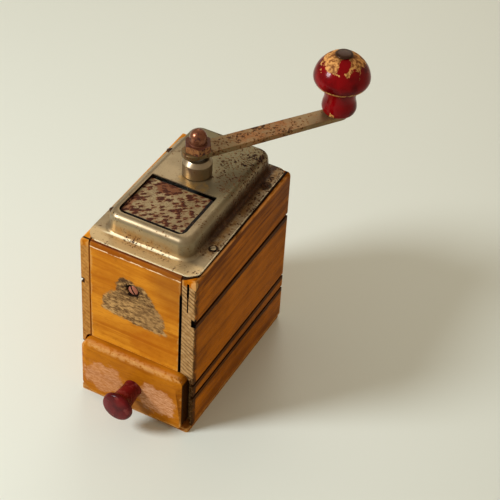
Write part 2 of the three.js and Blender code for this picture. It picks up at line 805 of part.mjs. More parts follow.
function addInnerBurr() {
  const teeth = 14;
  const twist = THREE.MathUtils.degToRad(70);
  const noseDepth = 2.4;
  const skirtDepth = 0.9;
  const bottom = burrSeat + coneLift;
  const skirt = grindRadius - waistNarrowing - ringToothDepth - grindGap;
  const heightShares = [0, 0.2, 0.4, 0.6, 0.8, 1];
  const rings = heightShares.map((share) => {
    const tip = THREE.MathUtils.lerp(skirt, noseRadius, share ** 2);
    const depth = THREE.MathUtils.lerp(skirtDepth, noseDepth, share);
    const z = bottom + share * coneHeight;
    return toothRing({ tip, root: tip - depth, teeth, turn: share * twist, z });
  });
  const bore = post(spindleRadius + shankGap, bottom - overrun, bottom + coneHeight + overrun, plainSides);
  const pinHole = laidAlongX(post(conePinRadius + shankGap, -burrRadius, burrRadius))
    .translate(0, 0, bottom + conePinHeight);
  add(crank, 'inner_burr', cut(lofted(rings), bore, pinHole), castIron);
  const pin = laidAlongX(post(conePinRadius, overrun - skirt, skirt - overrun));
  add(crank, 'cone_pin', pin, brightSteel, [0, 0, bottom + conePinHeight]);
}

// The spindle stands on the thrust pin and ends in a square neck and a thread for the nut
const spindleFoot = burrSeat - overrun;
const squareSide = 6.6;
const nutSeat = armTop + turnGap;
const threadLength = 7;

function addSpindle() {
  const ease = 0.6;
  const shoulder = armUnder - turnGap;
  const shaft = turned([
    [0, spindleFoot],
    [spindleRadius - ease, spindleFoot],
    [spindleRadius, spindleFoot + ease],
    [spindleRadius, shoulder - ease],
    [spindleRadius - ease, shoulder],
    [0, shoulder],
  ]);
  const neckTop = armTop + seatGap;
  const neck = block(-squareSide / 2, squareSide / 2, -squareSide / 2, squareSide / 2,
    shoulder - overrun, neckTop);
  const thread = turned([
    [0, neckTop - overrun],
    [squareSide / 2, neckTop - overrun],
    [squareSide / 2, neckTop],
    [neckRadius, neckTop],
    [neckRadius, nutSeat + threadLength - ease],
    [neckRadius - ease, nutSeat + threadLength],
    [0, nutSeat + threadLength],
  ]);
  const pinHole = laidAlongX(post(conePinRadius + shankGap, -burrRadius, burrRadius))
    .translate(0, 0, burrSeat + coneLift + conePinHeight);
  add(crank, 'spindle', cut(joined(shaft, neck, thread), pinHole), brightSteel);
}

// The crank arm: a flat bar tapering from its hub to the knob
const knobPinRadius = 2.7;

function addArm() {
  const hubReach = 10.4;
  const hubHalf = 6.95;
  const tipHalf = 5.9;
  const ease = 0.5;
  const shape = new THREE.Shape();
  const hubX = hubHalf - hubReach;
  shape.moveTo(hubX, hubHalf);
  shape.absarc(hubX, 0, hubHalf, Math.PI / 2, Math.PI * 3 / 2, false);
  shape.lineTo(crankReach, -tipHalf);
  shape.absarc(crankReach, 0, tipHalf, -Math.PI / 2, Math.PI / 2, false);
  const bar = new THREE.ExtrudeGeometry(shape, {
    depth: armThickness - ease * 2,
    bevelThickness: ease,
    bevelSize: ease,
    bevelOffset: -ease,
    bevelSegments: 2,
    curveSegments: 8,
  }).translate(0, 0, armUnder + ease);
  const half = squareSide / 2 + shankGap;
  const square = block(-half, half, -half, half, armUnder - overrun, armTop + overrun);
  const hole = post(knobPinRadius + shankGap, armUnder - overrun, armTop + overrun, plainSides);
  add(crank, 'crank_arm', cut(bar, square, moved(hole, crankReach, 0, 0)), rustySteel);
}

// A domed nut over the spindle's thread holds the arm down
function addNut() {
  const cornerRadius = 8.7;
  const hexHeight = 4.9;
  const chamfer = 1;
  const domeRadius = 5.4;
  const collarHeight = 3.8;
  const hexTop = nutSeat + hexHeight;
  const domeSteps = 5;
  const hexSides = 6;
  const turn = THREE.MathUtils.degToRad(39);
  const hex = post(cornerRadius, nutSeat, hexTop, hexSides).rotateZ(Math.PI / hexSides);
  const limit = turned([
    [0, nutSeat],
    [cornerRadius - chamfer / 2, nutSeat],
    [cornerRadius + chamfer / 2, nutSeat + chamfer / 2],
    [cornerRadius + chamfer / 2, hexTop - chamfer],
    [cornerRadius - chamfer, hexTop],
    [0, hexTop],
  ]);
  const arc = Array.from({ length: domeSteps + 1 }, (_, i) => {
    const angle = i / domeSteps * Math.PI / 2;
    return [domeRadius * Math.cos(angle), hexTop + collarHeight + domeRadius * Math.sin(angle)];
  });
  const dome = turned([[0, hexTop - chamfer], [domeRadius, hexTop - chamfer], ...arc]);
  const bore = post(neckRadius + shankGap, nutSeat - overrun, nutSeat + threadLength + turnGap, plainSides);
  add(crank, 'acorn_nut', cut(joined(shared(hex, limit), dome), bore), brownedSteel, [0, 0, 0], turn);
}

// The turned crank knob; its profile is shares of the knob's radius and height
const knobShares = [
  [0.485, 0], [0.568, 0.03], [0.618, 0.095], [0.602, 0.167], [0.557, 0.262], [0.568, 0.357],
  [0.613, 0.44], [0.724, 0.49], [0.87, 0.512], [0.958, 0.56], [1, 0.619], [0.98, 0.69],
  [0.891, 0.786], [0.724, 0.881], [0.529, 0.952], [0.31, 1],
];

function addKnob() {
  const bottom = armTop + turnGap;
  const top = bottom + knobHeight;
  const bore = knobPinRadius + shankGap;
  const profile = knobShares.map(([across, up]) => [across * knobRadius, bottom + up * knobHeight]);
  const knob = turned([[bore, bottom], ...profile, [bore, top], [bore, bottom]], wideSides);
  add(crank, 'crank_knob', knob, redPaint, [crankReach, 0, 0]);

  const headRadius = 5.4;
  const headRim = 0.6;
  const headHeight = 1.6;
  const crownRadiusShare = 0.6;
  const crownHeightShare = 0.9;
  const footRadius = 3.8;
  const footHeight = 1;
  const headSeat = top + turnGap;
  const pin = turned([
    [0, armUnder - turnGap - footHeight],
    [footRadius, armUnder - turnGap - footHeight],
    [footRadius, armUnder - turnGap],
    [knobPinRadius, armUnder - turnGap],
    [knobPinRadius, headSeat],
    [headRadius, headSeat],
    [headRadius, headSeat + headRim],
    [headRadius * crownRadiusShare, headSeat + headHeight * crownHeightShare],
    [0, headSeat + headHeight],
  ]);
  add(crank, 'knob_pin', pin, rustySteel, [crankReach, 0, 0]);
}

// A bridge under the shelf carries the thrust pin, and a ribbed wheel sets the grind
const bridgeUnder = shelfHeight - seatGap - bridgeThickness;
const thrustRadius = 3;
const wheelRadius = 11;
const wheelHeight = 3.4;
const liftRange = 0.5;

function addAdjuster() {
  const arcSteps = 8;
  const half = bridgeWidth / 2;
  const bar = raised(shapeOf(boxRing({
    x0: -bridgeEnd, x1: bridgeEnd, y0: -half, y1: half, radii: allCorners(half), steps: arcSteps,
  })), bridgeUnder, bridgeUnder + bridgeThickness);
  const above = bridgeUnder + bridgeThickness + overrun;
  const middle = post(thrustRadius + shankGap, bridgeUnder - overrun, above, plainSides);
  const hole = post(bridgeScrew.shank + shankGap, bridgeUnder - overrun, above);
  const holes = bridgeScrewPlaces.map(([x, y]) => moved(hole, x, y, 0));
  add(mill, 'bridge_bar', cut(bar, middle, ...holes), brightSteel);
  const screw = fastener(bridgeScrew).rotateX(Math.PI);
  bridgeScrewPlaces.forEach(([x, y], i) => {
    add(mill, `bridge_screw_${i + 1}`, screw, brightSteel, [x, y, bridgeUnder - seatGap]);
  });

  const wheelTop = bridgeUnder - liftRange - turnGap;
  const wheelBottom = wheelTop - wheelHeight;
  const ribs = 20;
  const ribDepth = 0.8;
  const cornersPerRib = 4;
  const corners = ribs * cornersPerRib;
  const ribRing = (z) => Array.from({ length: corners }, (_, i) => {
    const angle = i / corners * 2 * Math.PI;
    const onRib = i % cornersPerRib < cornersPerRib / 2;
    const radius = onRib ? wheelRadius : wheelRadius - ribDepth;
    return new THREE.Vector3(radius * Math.cos(angle), radius * Math.sin(angle), z);
  });
  const ribbed = lofted([wheelBottom, wheelTop].map(ribRing));
  const wheelBore = post(thrustRadius + shankGap, wheelBottom - overrun, wheelTop + overrun, plainSides);
  add(mill, 'adjusting_wheel', cut(ribbed, wheelBore), brightSteel);

  const pinTop = spindleFoot - turnGap;
  const ease = 0.5;
  const pin = turned([
    [0, wheelBottom],
    [thrustRadius, wheelBottom],
    [thrustRadius, pinTop - ease],
    [thrustRadius - ease, pinTop],
    [0, pinTop],
  ]);
  add(mill, 'thrust_pin', pin, brightSteel);
}

// The drawer: a thick front block with rounded top corners and shallow bevels, and a plain box
const lipLeftSlot = 0.5;
const lipRightSlot = 2.6;
const lipLeft = caseLeft + leftRebateWall + lipLeftSlot;
const lipRight = caseRight - rightRebateWall - lipRightSlot;
const lipBottom = baseThickness + slideGap + turnGap;
const lipTop = bayHeight - slideGap;
const lipBack = caseFront + rebateDepth - slideGap;
const lipFront = lipBack - lipThickness;
const boxLeft = cavityLeft + slideGap;
const boxRight = cavityRight - slideGap;
const boxBottom = baseThickness + slideGap;
const boxBack = cavityBack - drawerBackGap;

const drawerKnobScrew = {
  shank: 1.5, length: 19, headRadius: 3.4, headHeight: 1.8, slotWidth: 0.8, slotDepth: 0.8,
};
const drawerKnobX = millX + drawerKnobOffset;

function addDrawerFront() {
  const bevelDepth = 1.8;
  const endBevel = 5;
  const topBevel = 3;
  const radii = [6.5, 5.5, 5, 3];
  const outline = { x0: lipLeft, x1: lipRight, y0: lipBottom, y1: lipTop, radii };
  const back = boxRing({ ...outline, z: -lipBack });
  const edge = boxRing({ ...outline, z: -lipFront - bevelDepth });
  const face = edge.map((point) => {
    const up = (point.y - lipBottom) / (lipTop - lipBottom);
    const across = (point.x - lipLeft) / (lipRight - lipLeft);
    const x = point.x + (1 - across) * endBevel - across * up * endBevel;
    return new THREE.Vector3(x, point.y - up * topBevel, -lipFront);
  });
  const hole = facingFront(post(drawerKnobScrew.shank + shankGap, -lipBack - overrun, -lipFront + overrun))
    .translate(drawerKnobX, 0, drawerKnobHeight);
  add(model, 'drawer_front', cut(facingFront(lofted([back, edge, face])), hole), varnishedWood);
}

function addDrawerBox() {
  const floorLift = 0.8;
  const floorThickness = 3;
  const top = boxBottom + drawerHeight;
  const front = lipBack + seatGap;
  const innerLeft = boxLeft + drawerWall;
  const innerRight = boxRight - drawerWall;
  add(model, 'drawer_side_left', block(boxLeft, innerLeft, front, boxBack, boxBottom, top), plainWood);
  add(model, 'drawer_side_right', block(innerRight, boxRight, front, boxBack, boxBottom, top), plainWood);
  const between = [innerLeft + seatGap, innerRight - seatGap];
  const floor = boxBottom + floorLift;
  const floorTop = floor + floorThickness;
  const backFront = boxBack - drawerWall;
  add(model, 'drawer_bottom', block(...between, front, boxBack, floor, floorTop), plainWood);
  add(model, 'drawer_back', block(...between, backFront, boxBack, floorTop + seatGap, top), plainWood);
}

// The drawer's turned knob, its profile in distance from the front block and radius
const drawerKnobRadius = 10.2;
const drawerKnobLength = 21.2;
const drawerKnobShares = [
  [0.598, 0], [0.578, 0.142], [0.618, 0.377], [0.686, 0.613], [0.784, 0.731], [0.941, 0.788],
  [1, 0.816], [1, 0.877], [0.961, 0.925], [0.784, 0.976],
];

function addDrawerKnob() {
  const profile = drawerKnobShares.map(([across, out]) =>
    [across * drawerKnobRadius, out * drawerKnobLength]);
  const knob = turned([[0, 0], ...profile, [0, drawerKnobLength]], plainSides);
  const depth = drawerKnobScrew.length - lipThickness + turnGap;
  const bore = post(drawerKnobScrew.shank + shankGap, -overrun, depth);
  const seat = [drawerKnobX, lipFront - seatGap, drawerKnobHeight];
  add(model, 'drawer_knob', facingFront(cut(knob, bore)), maroonPaint, seat);
  const screw = facingFront(fastener(drawerKnobScrew).rotateX(Math.PI));
  add(model, 'drawer_knob_screw', screw, brightSteel, [drawerKnobX, lipBack + seatGap, drawerKnobHeight]);
}

addBase();
addSideBoard('side_board_left', cavityLeft, caseLeft, leftRebateWall);
addSideBoard('side_board_right', cavityRight, caseRight, rightRebateWall);
addPanels();
addShelf();
addCover();
addLid();
addLidHinge();
addLidSpring();
addHopper();
addBush();
addOuterBurr();
addInnerBurr();
addSpindle();
addArm();
addNut();
addKnob();
addAdjuster();
addDrawerFront();
addDrawerBox();
addDrawerKnob();

export default model;
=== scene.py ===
# %% [markdown]
# An old wooden box coffee grinder, dressed in Blender. The packed model gives every piece its place
# and its size in metres. The pieces whose shape is already right stay and get a material. The ones
# whose curves or worn edges show are modelled again here, on the same sizes, and stand for them.

# %% Load the frame
import json
import math

import bpy
from mathutils import Matrix, Vector


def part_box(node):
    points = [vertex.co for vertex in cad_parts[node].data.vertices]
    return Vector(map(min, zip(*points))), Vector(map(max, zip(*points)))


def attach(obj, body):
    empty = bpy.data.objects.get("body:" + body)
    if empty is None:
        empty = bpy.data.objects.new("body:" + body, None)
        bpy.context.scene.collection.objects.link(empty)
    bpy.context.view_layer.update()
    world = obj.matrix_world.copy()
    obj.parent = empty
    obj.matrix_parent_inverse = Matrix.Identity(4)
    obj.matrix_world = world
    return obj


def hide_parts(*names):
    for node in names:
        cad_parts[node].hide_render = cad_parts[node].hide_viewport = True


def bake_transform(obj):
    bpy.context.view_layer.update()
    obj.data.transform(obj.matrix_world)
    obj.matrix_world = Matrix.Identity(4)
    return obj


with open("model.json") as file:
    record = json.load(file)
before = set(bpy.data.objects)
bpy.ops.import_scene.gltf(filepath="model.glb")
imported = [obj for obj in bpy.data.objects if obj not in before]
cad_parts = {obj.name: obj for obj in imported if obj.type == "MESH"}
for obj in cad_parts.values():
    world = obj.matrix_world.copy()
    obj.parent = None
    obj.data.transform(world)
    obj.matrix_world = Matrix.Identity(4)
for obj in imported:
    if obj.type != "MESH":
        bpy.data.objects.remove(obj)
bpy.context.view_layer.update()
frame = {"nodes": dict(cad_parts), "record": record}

mm = 0.001
nodes = frame["nodes"]


# %% [markdown]
# The photograph looks down on the mill from its right front corner. The three directions below are
# the camera's own right, up and back, found from the box's straight edges, so the render lies over
# the photograph.

# %% Camera
image_width = 500
focal_pixels = 1613.87
camera_place = Vector((0.365889, -0.666022, 0.754187))
camera_right = Vector((0.8805, 0.4717, 0.0470))
camera_up = Vector((-0.3423, 0.5643, 0.7512))

camera_data = bpy.data.cameras.new("photo_camera")
camera_data.sensor_width = 36
camera_data.lens = focal_pixels / image_width * camera_data.sensor_width
camera_data.clip_start = 0.01
camera = bpy.data.objects.new("photo_camera", camera_data)
bpy.context.scene.collection.objects.link(camera)
right = camera_right.normalized()
back = right.cross(camera_up).normalized()
turn = Matrix((right, back.cross(right), back)).transposed()
camera.matrix_world = Matrix.Translation(camera_place) @ turn.to_4x4()
bpy.context.scene.camera = camera
print("lens:", round(camera_data.lens, 1), "mm")

# %% [markdown]
# The mill stands on a pale table. One large soft lamp at the left front gives the light side and
# the broad shadow to the right, a weak one behind lights the rear edges, and the world gives the
# rest.

# %% Stage and light
bpy.context.scene.view_settings.view_transform = "Standard"

bpy.ops.mesh.primitive_plane_add(size=6, location=(0, 0, 0))
floor = bpy.context.object
floor.name = "pale_table"

floor_finish = bpy.data.materials.new("pale_table_top")
floor_finish.use_nodes = True
floor_shader = floor_finish.node_tree.nodes["Principled BSDF"]
floor_shader.inputs["Base Color"].default_value = (0.735, 0.765, 0.675, 1)
floor_shader.inputs["Roughness"].default_value = 0.35
floor.data.materials.append(floor_finish)

world = bpy.data.worlds.new("soft_room")
bpy.context.scene.world = world
world.use_nodes = True
room = world.node_tree.nodes["Background"].inputs
room["Color"].default_value = (1.0, 0.86, 0.66, 1)
room["Strength"].default_value = 0.42


def soft_lamp(name, place, target, size, power, tint):
    data = bpy.data.lights.new(name, "AREA")
    data.shape = "DISK"
    data.size = size
    data.energy = power
    data.color = tint
    lamp = bpy.data.objects.new(name, data)
    lamp.location = place
    lamp.rotation_euler = (Vector(target) - Vector(place)).to_track_quat("-Z", "Y").to_euler()
    bpy.context.scene.collection.objects.link(lamp)


soft_lamp("key_lamp", (-0.72, -0.7, 0.82), (0, 0, 0.06), 0.36, 15.5, (0.9, 0.94, 1.0))
soft_lamp("rim_lamp", (-0.5, 1.5, 1.3), (0, 0, 0.1), 1.2, 5, (1.0, 0.95, 0.85))
print("stage:", floor.name, "lamps:", len(bpy.data.lights))

# %% [markdown]
# A few helpers keep the modelling short. The frame's own pieces come in selected, so everything is
# deselected before a primitive is added. A finished piece has its place in its mesh, its normals
# pointing out and smooth shading between gentle faces only. Weighted normals keep its wide flat
# faces flat beside their rounded edges.

# %% Modelling helpers
smooth_angle = math.radians(32)


def deselect():
    for item in bpy.context.selected_objects:
        item.select_set(False)


def edit(piece, mode="EDIT"):
    deselect()
    piece.select_set(True)
    bpy.context.view_layer.objects.active = piece
    bpy.ops.object.mode_set(mode=mode)


def face_outwards():
    bpy.ops.mesh.select_all(action="SELECT")
    bpy.ops.mesh.normals_make_consistent(inside=False)


def merge(distance):
    bpy.ops.mesh.select_all(action="SELECT")
    bpy.ops.mesh.remove_doubles(threshold=distance)


def start_edit(name, size=1):
    deselect()
    bpy.ops.mesh.primitive_plane_add(size=size, location=(0, 0, 0))
    piece = bpy.context.object
    piece.name = name
    piece.data.name = name
    bpy.ops.object.mode_set(mode="EDIT")
    return piece


def finish_piece(piece, body, slot, *stands_for, merged=1e-6):
    """A piece that bends between two bodies rides on none, so its body is None."""
    edit(piece)
    merge(merged)
    face_outwards()
    bpy.ops.object.mode_set(mode="OBJECT")
    bpy.ops.object.transform_apply(location=True, rotation=True, scale=True)
    bpy.ops.object.shade_smooth_by_angle(angle=smooth_angle)
    flat = piece.modifiers.new("flat_faces", "WEIGHTED_NORMAL")
    flat.keep_sharp = True
    bpy.ops.object.modifier_apply(modifier=flat.name)
    if body:
        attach(piece, body)
    if stands_for:
        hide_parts(*stands_for)
    print(piece.name, len(piece.data.polygons), "faces")
    return piece


print("faces meet smoothly below", round(math.degrees(smooth_angle)), "degrees")

# %% [markdown]
# Knobs, bushes and rivets are turned on a lathe, so they are spun here: one vertex is extruded
# along the profile and the line is spun round the piece's axis. The profile's few points are joined
# by a smooth curve, because a turner's tool leaves no corners except where it is meant to.

# %% Turned pieces
def draw_out(x, y, z):
    bpy.ops.mesh.extrude_region_move(TRANSFORM_OT_translate={"value": (x, y, z)})


def flowing(points, steps=4):
    """Points on a smooth curve through the given ones."""
    ends = [points[0], *points, points[-1]]
    line = []
    for a, b, c, d in zip(ends, ends[1:], ends[2:], ends[3:]):
        for step in range(steps):
            t = step / steps
            line.append(tuple(
                0.5 * (2 * q + (r - p) * t + (2 * p - 5 * q + 4 * r - s) * t * t
                       + (3 * q - p - 3 * r + s) * t ** 3)
                for p, q, r, s in zip(a, b, c, d)))
    return [*line, points[-1]]


turned_sides = 72


def spun(name, profile, centre, axis=(0, 0, 1), steps=turned_sides):
    """profile holds pairs of radius and height along the axis, in metres."""
    piece = start_edit(name)
    bpy.ops.mesh.merge(type="CENTER")
    out = Vector((1, 0, 0))
    along = Vector(axis)
    places = [Vector(centre) + out * radius + along * height for radius, height in profile]
    bpy.ops.transform.translate(value=places[0])
    for before, after in zip(places, places[1:]):
        draw_out(*(after - before))
    bpy.ops.mesh.select_all(action="SELECT")
    bpy.ops.mesh.spin(steps=steps, angle=2 * math.pi, center=centre, axis=axis)
    merge(1e-6)
    face_outwards()
    bpy.ops.object.mode_set(mode="OBJECT")
    return piece


print("a turned piece has", turned_sides, "sides")

# %% [markdown]
# The crank's knob is turned wood under thick red paint: a wide mushroom head over a waisted grip.
# Its widest radius and its height come from the frame, and the profile is shares of them.

# %% Crank knob
def corners(box):
    """The low and the high corner of a box, as vectors."""
    return [Vector(corner[:]) for corner in box]


low, high = corners(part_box("crank_knob"))
knob_centre, knob_foot = (low + high) / 2, low.z
inside_box = 0.02 * mm
knob_radius = (high.x - low.x) / 2 - inside_box
knob_height = high.z - low.z
knob_shares = [
    (0.455, 0.0), (0.485, 0.006), (0.568, 0.03), (0.618, 0.095), (0.602, 0.167), (0.557, 0.262),
    (0.568, 0.357), (0.613, 0.44), (0.724, 0.488), (0.87, 0.512), (0.962, 0.56), (1.0, 0.619),
    (0.98, 0.69), (0.891, 0.786), (0.724, 0.881), (0.529, 0.952), (0.31, 0.998),
]
pin_bore = 2.95 * mm
knob_profile = [(across * knob_radius, up * knob_height) for across, up in flowing(knob_shares)]
knob_profile = [(pin_bore, 0), *knob_profile, (pin_bore, knob_height), (pin_bore, 0)]
crank_knob = spun("turned_crank_knob", knob_profile, (knob_centre.x, knob_centre.y, knob_foot))
finish_piece(crank_knob, "knob", "red_paint", "crank_knob")

# %% [markdown]
# The rivet that the knob turns on has a low domed head above and a flattened foot under the arm.

# %% Knob rivet
def rounded(radius, foot, rise, steps):
    """A profile's quarter round, from its rim at the foot to just short of its top."""
    return [(radius * math.cos(t), foot + rise * math.sin(t))
            for t in (i / steps * math.pi / 2 for i in range(steps))]


low, high = corners(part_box("knob_pin"))
rivet_centre = (low + high) / 2
rivet_height = high.z - low.z
head_radius, head_height, head_rim = (high.x - low.x) / 2, 1.6 * mm, 0.5 * mm
foot_radius, foot_height, foot_round = 3.8 * mm, 1.0 * mm, 0.3 * mm
shank_radius, burr = 2.7 * mm, 0.2 * mm
head_under = rivet_height - head_height
rivet_profile = [
    (0, 0), (foot_radius * 0.8, 0), (foot_radius, foot_round), (foot_radius, foot_height),
    (shank_radius, foot_height), (shank_radius, head_under),
    (head_radius - burr, head_under), (head_radius, head_under + burr),
    *rounded(head_radius, head_under + head_rim, head_height - head_rim, 8), (0, rivet_height),
]
rivet = spun("knob_rivet", rivet_profile, (rivet_centre.x, rivet_centre.y, low.z))
finish_piece(rivet, "crank", "rusty_steel", "knob_pin")

# %% [markdown]
# The drawer's knob lies on its side, so it is spun about the Y axis, with its wide head forwards.

# %% Drawer knob
low, high = corners(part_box("drawer_knob"))
small_centre = (low + high) / 2
small_radius = (high.x - low.x) / 2
small_length = high.y - low.y
small_shares = [
    (0.598, 0), (0.578, 0.142), (0.6, 0.26), (0.618, 0.377), (0.686, 0.613), (0.784, 0.725),
    (0.941, 0.785), (0.995, 0.816), (1.0, 0.85), (0.985, 0.895), (0.93, 0.94), (0.8, 0.97),
    (0.5, 0.99),
]
small_profile = [(across * small_radius, out * small_length)
                 for across, out in flowing(small_shares)]
small_profile = [(0, 0), *small_profile, (0, small_length)]
drawer_knob = spun("turned_drawer_knob", small_profile,
                   (small_centre.x, high.y, small_centre.z), axis=(0, -1, 0), steps=64)
finish_piece(drawer_knob, "drawer", "maroon_paint", "drawer_knob")

# %% [markdown]
# The bush that guides the spindle is a bright collar with a chamfered top. Below the dome it has a
# neck and a riveted flange, as the frame's solid has.

# %% Upper bush
low, high = corners(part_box("upper_bearing_bush"))
dome_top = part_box("top_cover")[1][2]
mill_centre = (low + high) / 2
bush_bore, neck_radius, bush_flange = 5.25 * mm, 7.0 * mm, 1.7 * mm
bush_radius, bush_top = (high.x - low.x) / 2, high.z - low.z
collar_start = dome_top - low.z + 0.3 * mm
arris = 0.25 * mm
bush_profile = [
    (bush_bore, 0), (bush_radius, 0), (bush_radius, bush_flange), (neck_radius, bush_flange),
    (neck_radius, collar_start), (bush_radius - arris, collar_start),
    (bush_radius, collar_start + arris), (bush_radius, bush_top - 2.9 * mm),
    (bush_radius - 0.15 * mm, bush_top - 2.5 * mm), (bush_radius - 1.8 * mm, bush_top - arris),
    (bush_radius - 2.1 * mm, bush_top), (bush_bore, bush_top), (bush_bore, 0),
]
bush = spun("spindle_bush", bush_profile, (mill_centre.x, mill_centre.y, low.z))
finish_piece(bush, "case", "nickel_plate", "upper_bearing_bush")

# %% [markdown]
# The domed nut is a six-sided collar with a rounded cap. The hexagon's corners are turned away by a
# cone, so the hexagon is intersected with a spun blank, and the cap is a second spun piece joined
# on. The helper that does this is used for all the cuts that follow.

# %% Domed nut
def combine(piece, tool, operation):
    """Joins the tool to the piece, cuts it away or keeps what both share."""
    edit(piece, "OBJECT")
    step = piece.modifiers.new(operation.lower(), "BOOLEAN")
    step.operation = operation
    step.solver = "MANIFOLD"
    step.object = tool
    bpy.ops.object.modifier_apply(modifier=step.name)
    bpy.data.objects.remove(tool)


def rod(bottom, top, radius):
    return [(0, bottom), (radius, bottom), (radius, top), (0, top)]


low, high = corners(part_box("acorn_nut"))
nut_centre = Vector((mill_centre.x, mill_centre.y, low.z))
nut_height = high.z - low.z
hex_radius, hex_height, hex_turn = 8.7 * mm, 4.9 * mm, math.radians(-88)
cap_radius, cap_flare = 5.4 * mm, 0.5 * mm
thread_radius, thread_depth = 4.05 * mm, 7.3 * mm
deselect()
bpy.ops.mesh.primitive_cylinder_add(
    vertices=6, radius=hex_radius, depth=hex_height,
    location=nut_centre + Vector((0, 0, hex_height / 2)), rotation=(0, 0, hex_turn))
nut = bpy.context.object
nut.name = "domed_nut"
chamfer, spare = 0.6 * mm, 0.1 * mm
blank_profile = [
    (0, -spare), (hex_radius - chamfer, -spare), (hex_radius + spare, chamfer * 0.6),
    (hex_radius + spare, hex_height - chamfer * 0.8),
    (hex_radius - chamfer * 1.2, hex_height + spare / 2), (0, hex_height + spare / 2),
]
combine(nut, spun("nut_blank", blank_profile, nut_centre), "INTERSECT")
cap_profile = [
    (0, hex_height - mm), (cap_radius + cap_flare, hex_height - mm),
    (cap_radius + cap_flare, hex_height), (cap_radius + spare, hex_height + 0.3 * mm),
    (cap_radius, hex_height + 0.8 * mm),
    *rounded(cap_radius, nut_height - cap_radius, cap_radius, 12), (0, nut_height),
]
combine(nut, spun("nut_cap", cap_profile, nut_centre), "UNION")
combine(nut, spun("nut_bore", rod(-mm, thread_depth, thread_radius), nut_centre), "DIFFERENCE")
finish_piece(nut, "crank", "browned_steel", "acorn_nut")

# %% [markdown]
# The crank's arm is a flat bar. It starts as a plane stretched between the shaft and the knob, its
# ends are rounded by bevelling the corners by half the width, and it is then given its thickness
# and the small radius that years of handling leave on its edges. A helper picks points by their
# place.

# %% Crank arm
def select_where(piece, test, kind="VERT"):
    """Selects, in edit mode, the points that pass the test or the edges whose two ends do."""
    edit(piece)
    bpy.ops.mesh.select_mode(type=kind)
    bpy.ops.mesh.select_all(action="DESELECT")
    bpy.ops.object.mode_set(mode="OBJECT")
    points = piece.data.vertices
    if kind == "VERT":
        for vertex in points:
            vertex.select = test(vertex.co)
    else:
        for edge in piece.data.edges:
            edge.select = all(test(points[v].co) for v in edge.vertices)
    bpy.ops.object.mode_set(mode="EDIT")


low, high = corners(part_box("crank_arm"))
arm_direction = Vector((knob_centre.x - mill_centre.x, knob_centre.y - mill_centre.y, 0))
crank_reach = arm_direction.length
arm_turn = Matrix.Translation((mill_centre.x, mill_centre.y, 0)) @ Matrix.Rotation(
    math.atan2(arm_direction.y, arm_direction.x), 4, "Z")
hub_half, hub_reach, tip_half, arm_edge = 6.95 * mm, 10.4 * mm, 5.9 * mm, 0.7 * mm
square_side, nearly_round = 7.1 * mm, 0.998
arm = start_edit("crank_bar", size=2)
bpy.ops.object.mode_set(mode="OBJECT")
for vertex in arm.data.vertices:
    at_tip = vertex.co.x > 0
    half = tip_half if at_tip else hub_half
    reach = crank_reach + tip_half if at_tip else -hub_reach
    vertex.co = (reach, math.copysign(half, vertex.co.y), low.z)
for at_tip, half in ((True, tip_half), (False, hub_half)):
    select_where(arm, lambda place: (place.x > crank_reach * 0.5) == at_tip)
    bpy.ops.mesh.bevel(offset=half * nearly_round, offset_type="ABSOLUTE", affect="VERTICES",
                       segments=14, profile=0.5)
merge(1e-5)
bpy.ops.mesh.select_all(action="SELECT")
draw_out(0, 0, high.z - low.z)
face_outwards()
bpy.ops.mesh.select_all(action="DESELECT")
bpy.ops.mesh.edges_select_sharp(sharpness=math.radians(60))
bpy.ops.mesh.bevel(offset=arm_edge, affect="EDGES", segments=4, profile=0.5)
for x in (hub_half * 1.5, crank_reach * 0.5, crank_reach - tip_half * 1.5):
    bpy.ops.mesh.select_all(action="SELECT")
    bpy.ops.mesh.bisect(plane_co=(x, 0, 0), plane_no=(1, 0, 0))
bpy.ops.object.mode_set(mode="OBJECT")
pin_hole = rod(low.z - mm, high.z + mm, pin_bore)
combine(arm, spun("pin_hole", pin_hole, (crank_reach, 0, 0), steps=32), "DIFFERENCE")
bpy.ops.mesh.primitive_cube_add(size=1, location=(0, 0, (low.z + high.z) / 2))
square_hole = bpy.context.object
square_hole.scale = (square_side, square_side, 20 * mm)
combine(arm, square_hole, "DIFFERENCE")
arm.matrix_world = arm_turn
finish_piece(arm, "crank", "rusty_steel", "crank_arm")

# %% [markdown]
# The cover is one pressing: a flange with round corners and a long dome with drawn-in sides. Both
# outlines are rounded rectangles with as many points, so the flange is a bridge between them.

# %% Outline of the pressed cover
cover_low, cover_high = corners(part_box("top_cover"))
top, sheet = cover_high.z, 0.9 * mm
flange_top = cover_low.z + sheet
left_margin, front_spread = 1.8 * mm, 1.6 * mm
flange_low = cover_low + Vector((left_margin, 0, 0))
flange_radii, flange_lean = [4.5 * mm, 9 * mm, 9 * mm, 8 * mm], 1.2 * mm
dome_low = cover_low + Vector((9.1, 10.3, 0)) * mm
dome_high = cover_high - Vector((8.35, 1.4, 0)) * mm
dome_middle = (dome_low + dome_high) / 2
dome_radii, dome_lean = [8 * mm] * 4, 1.5 * mm
touching = 0.1 * mm


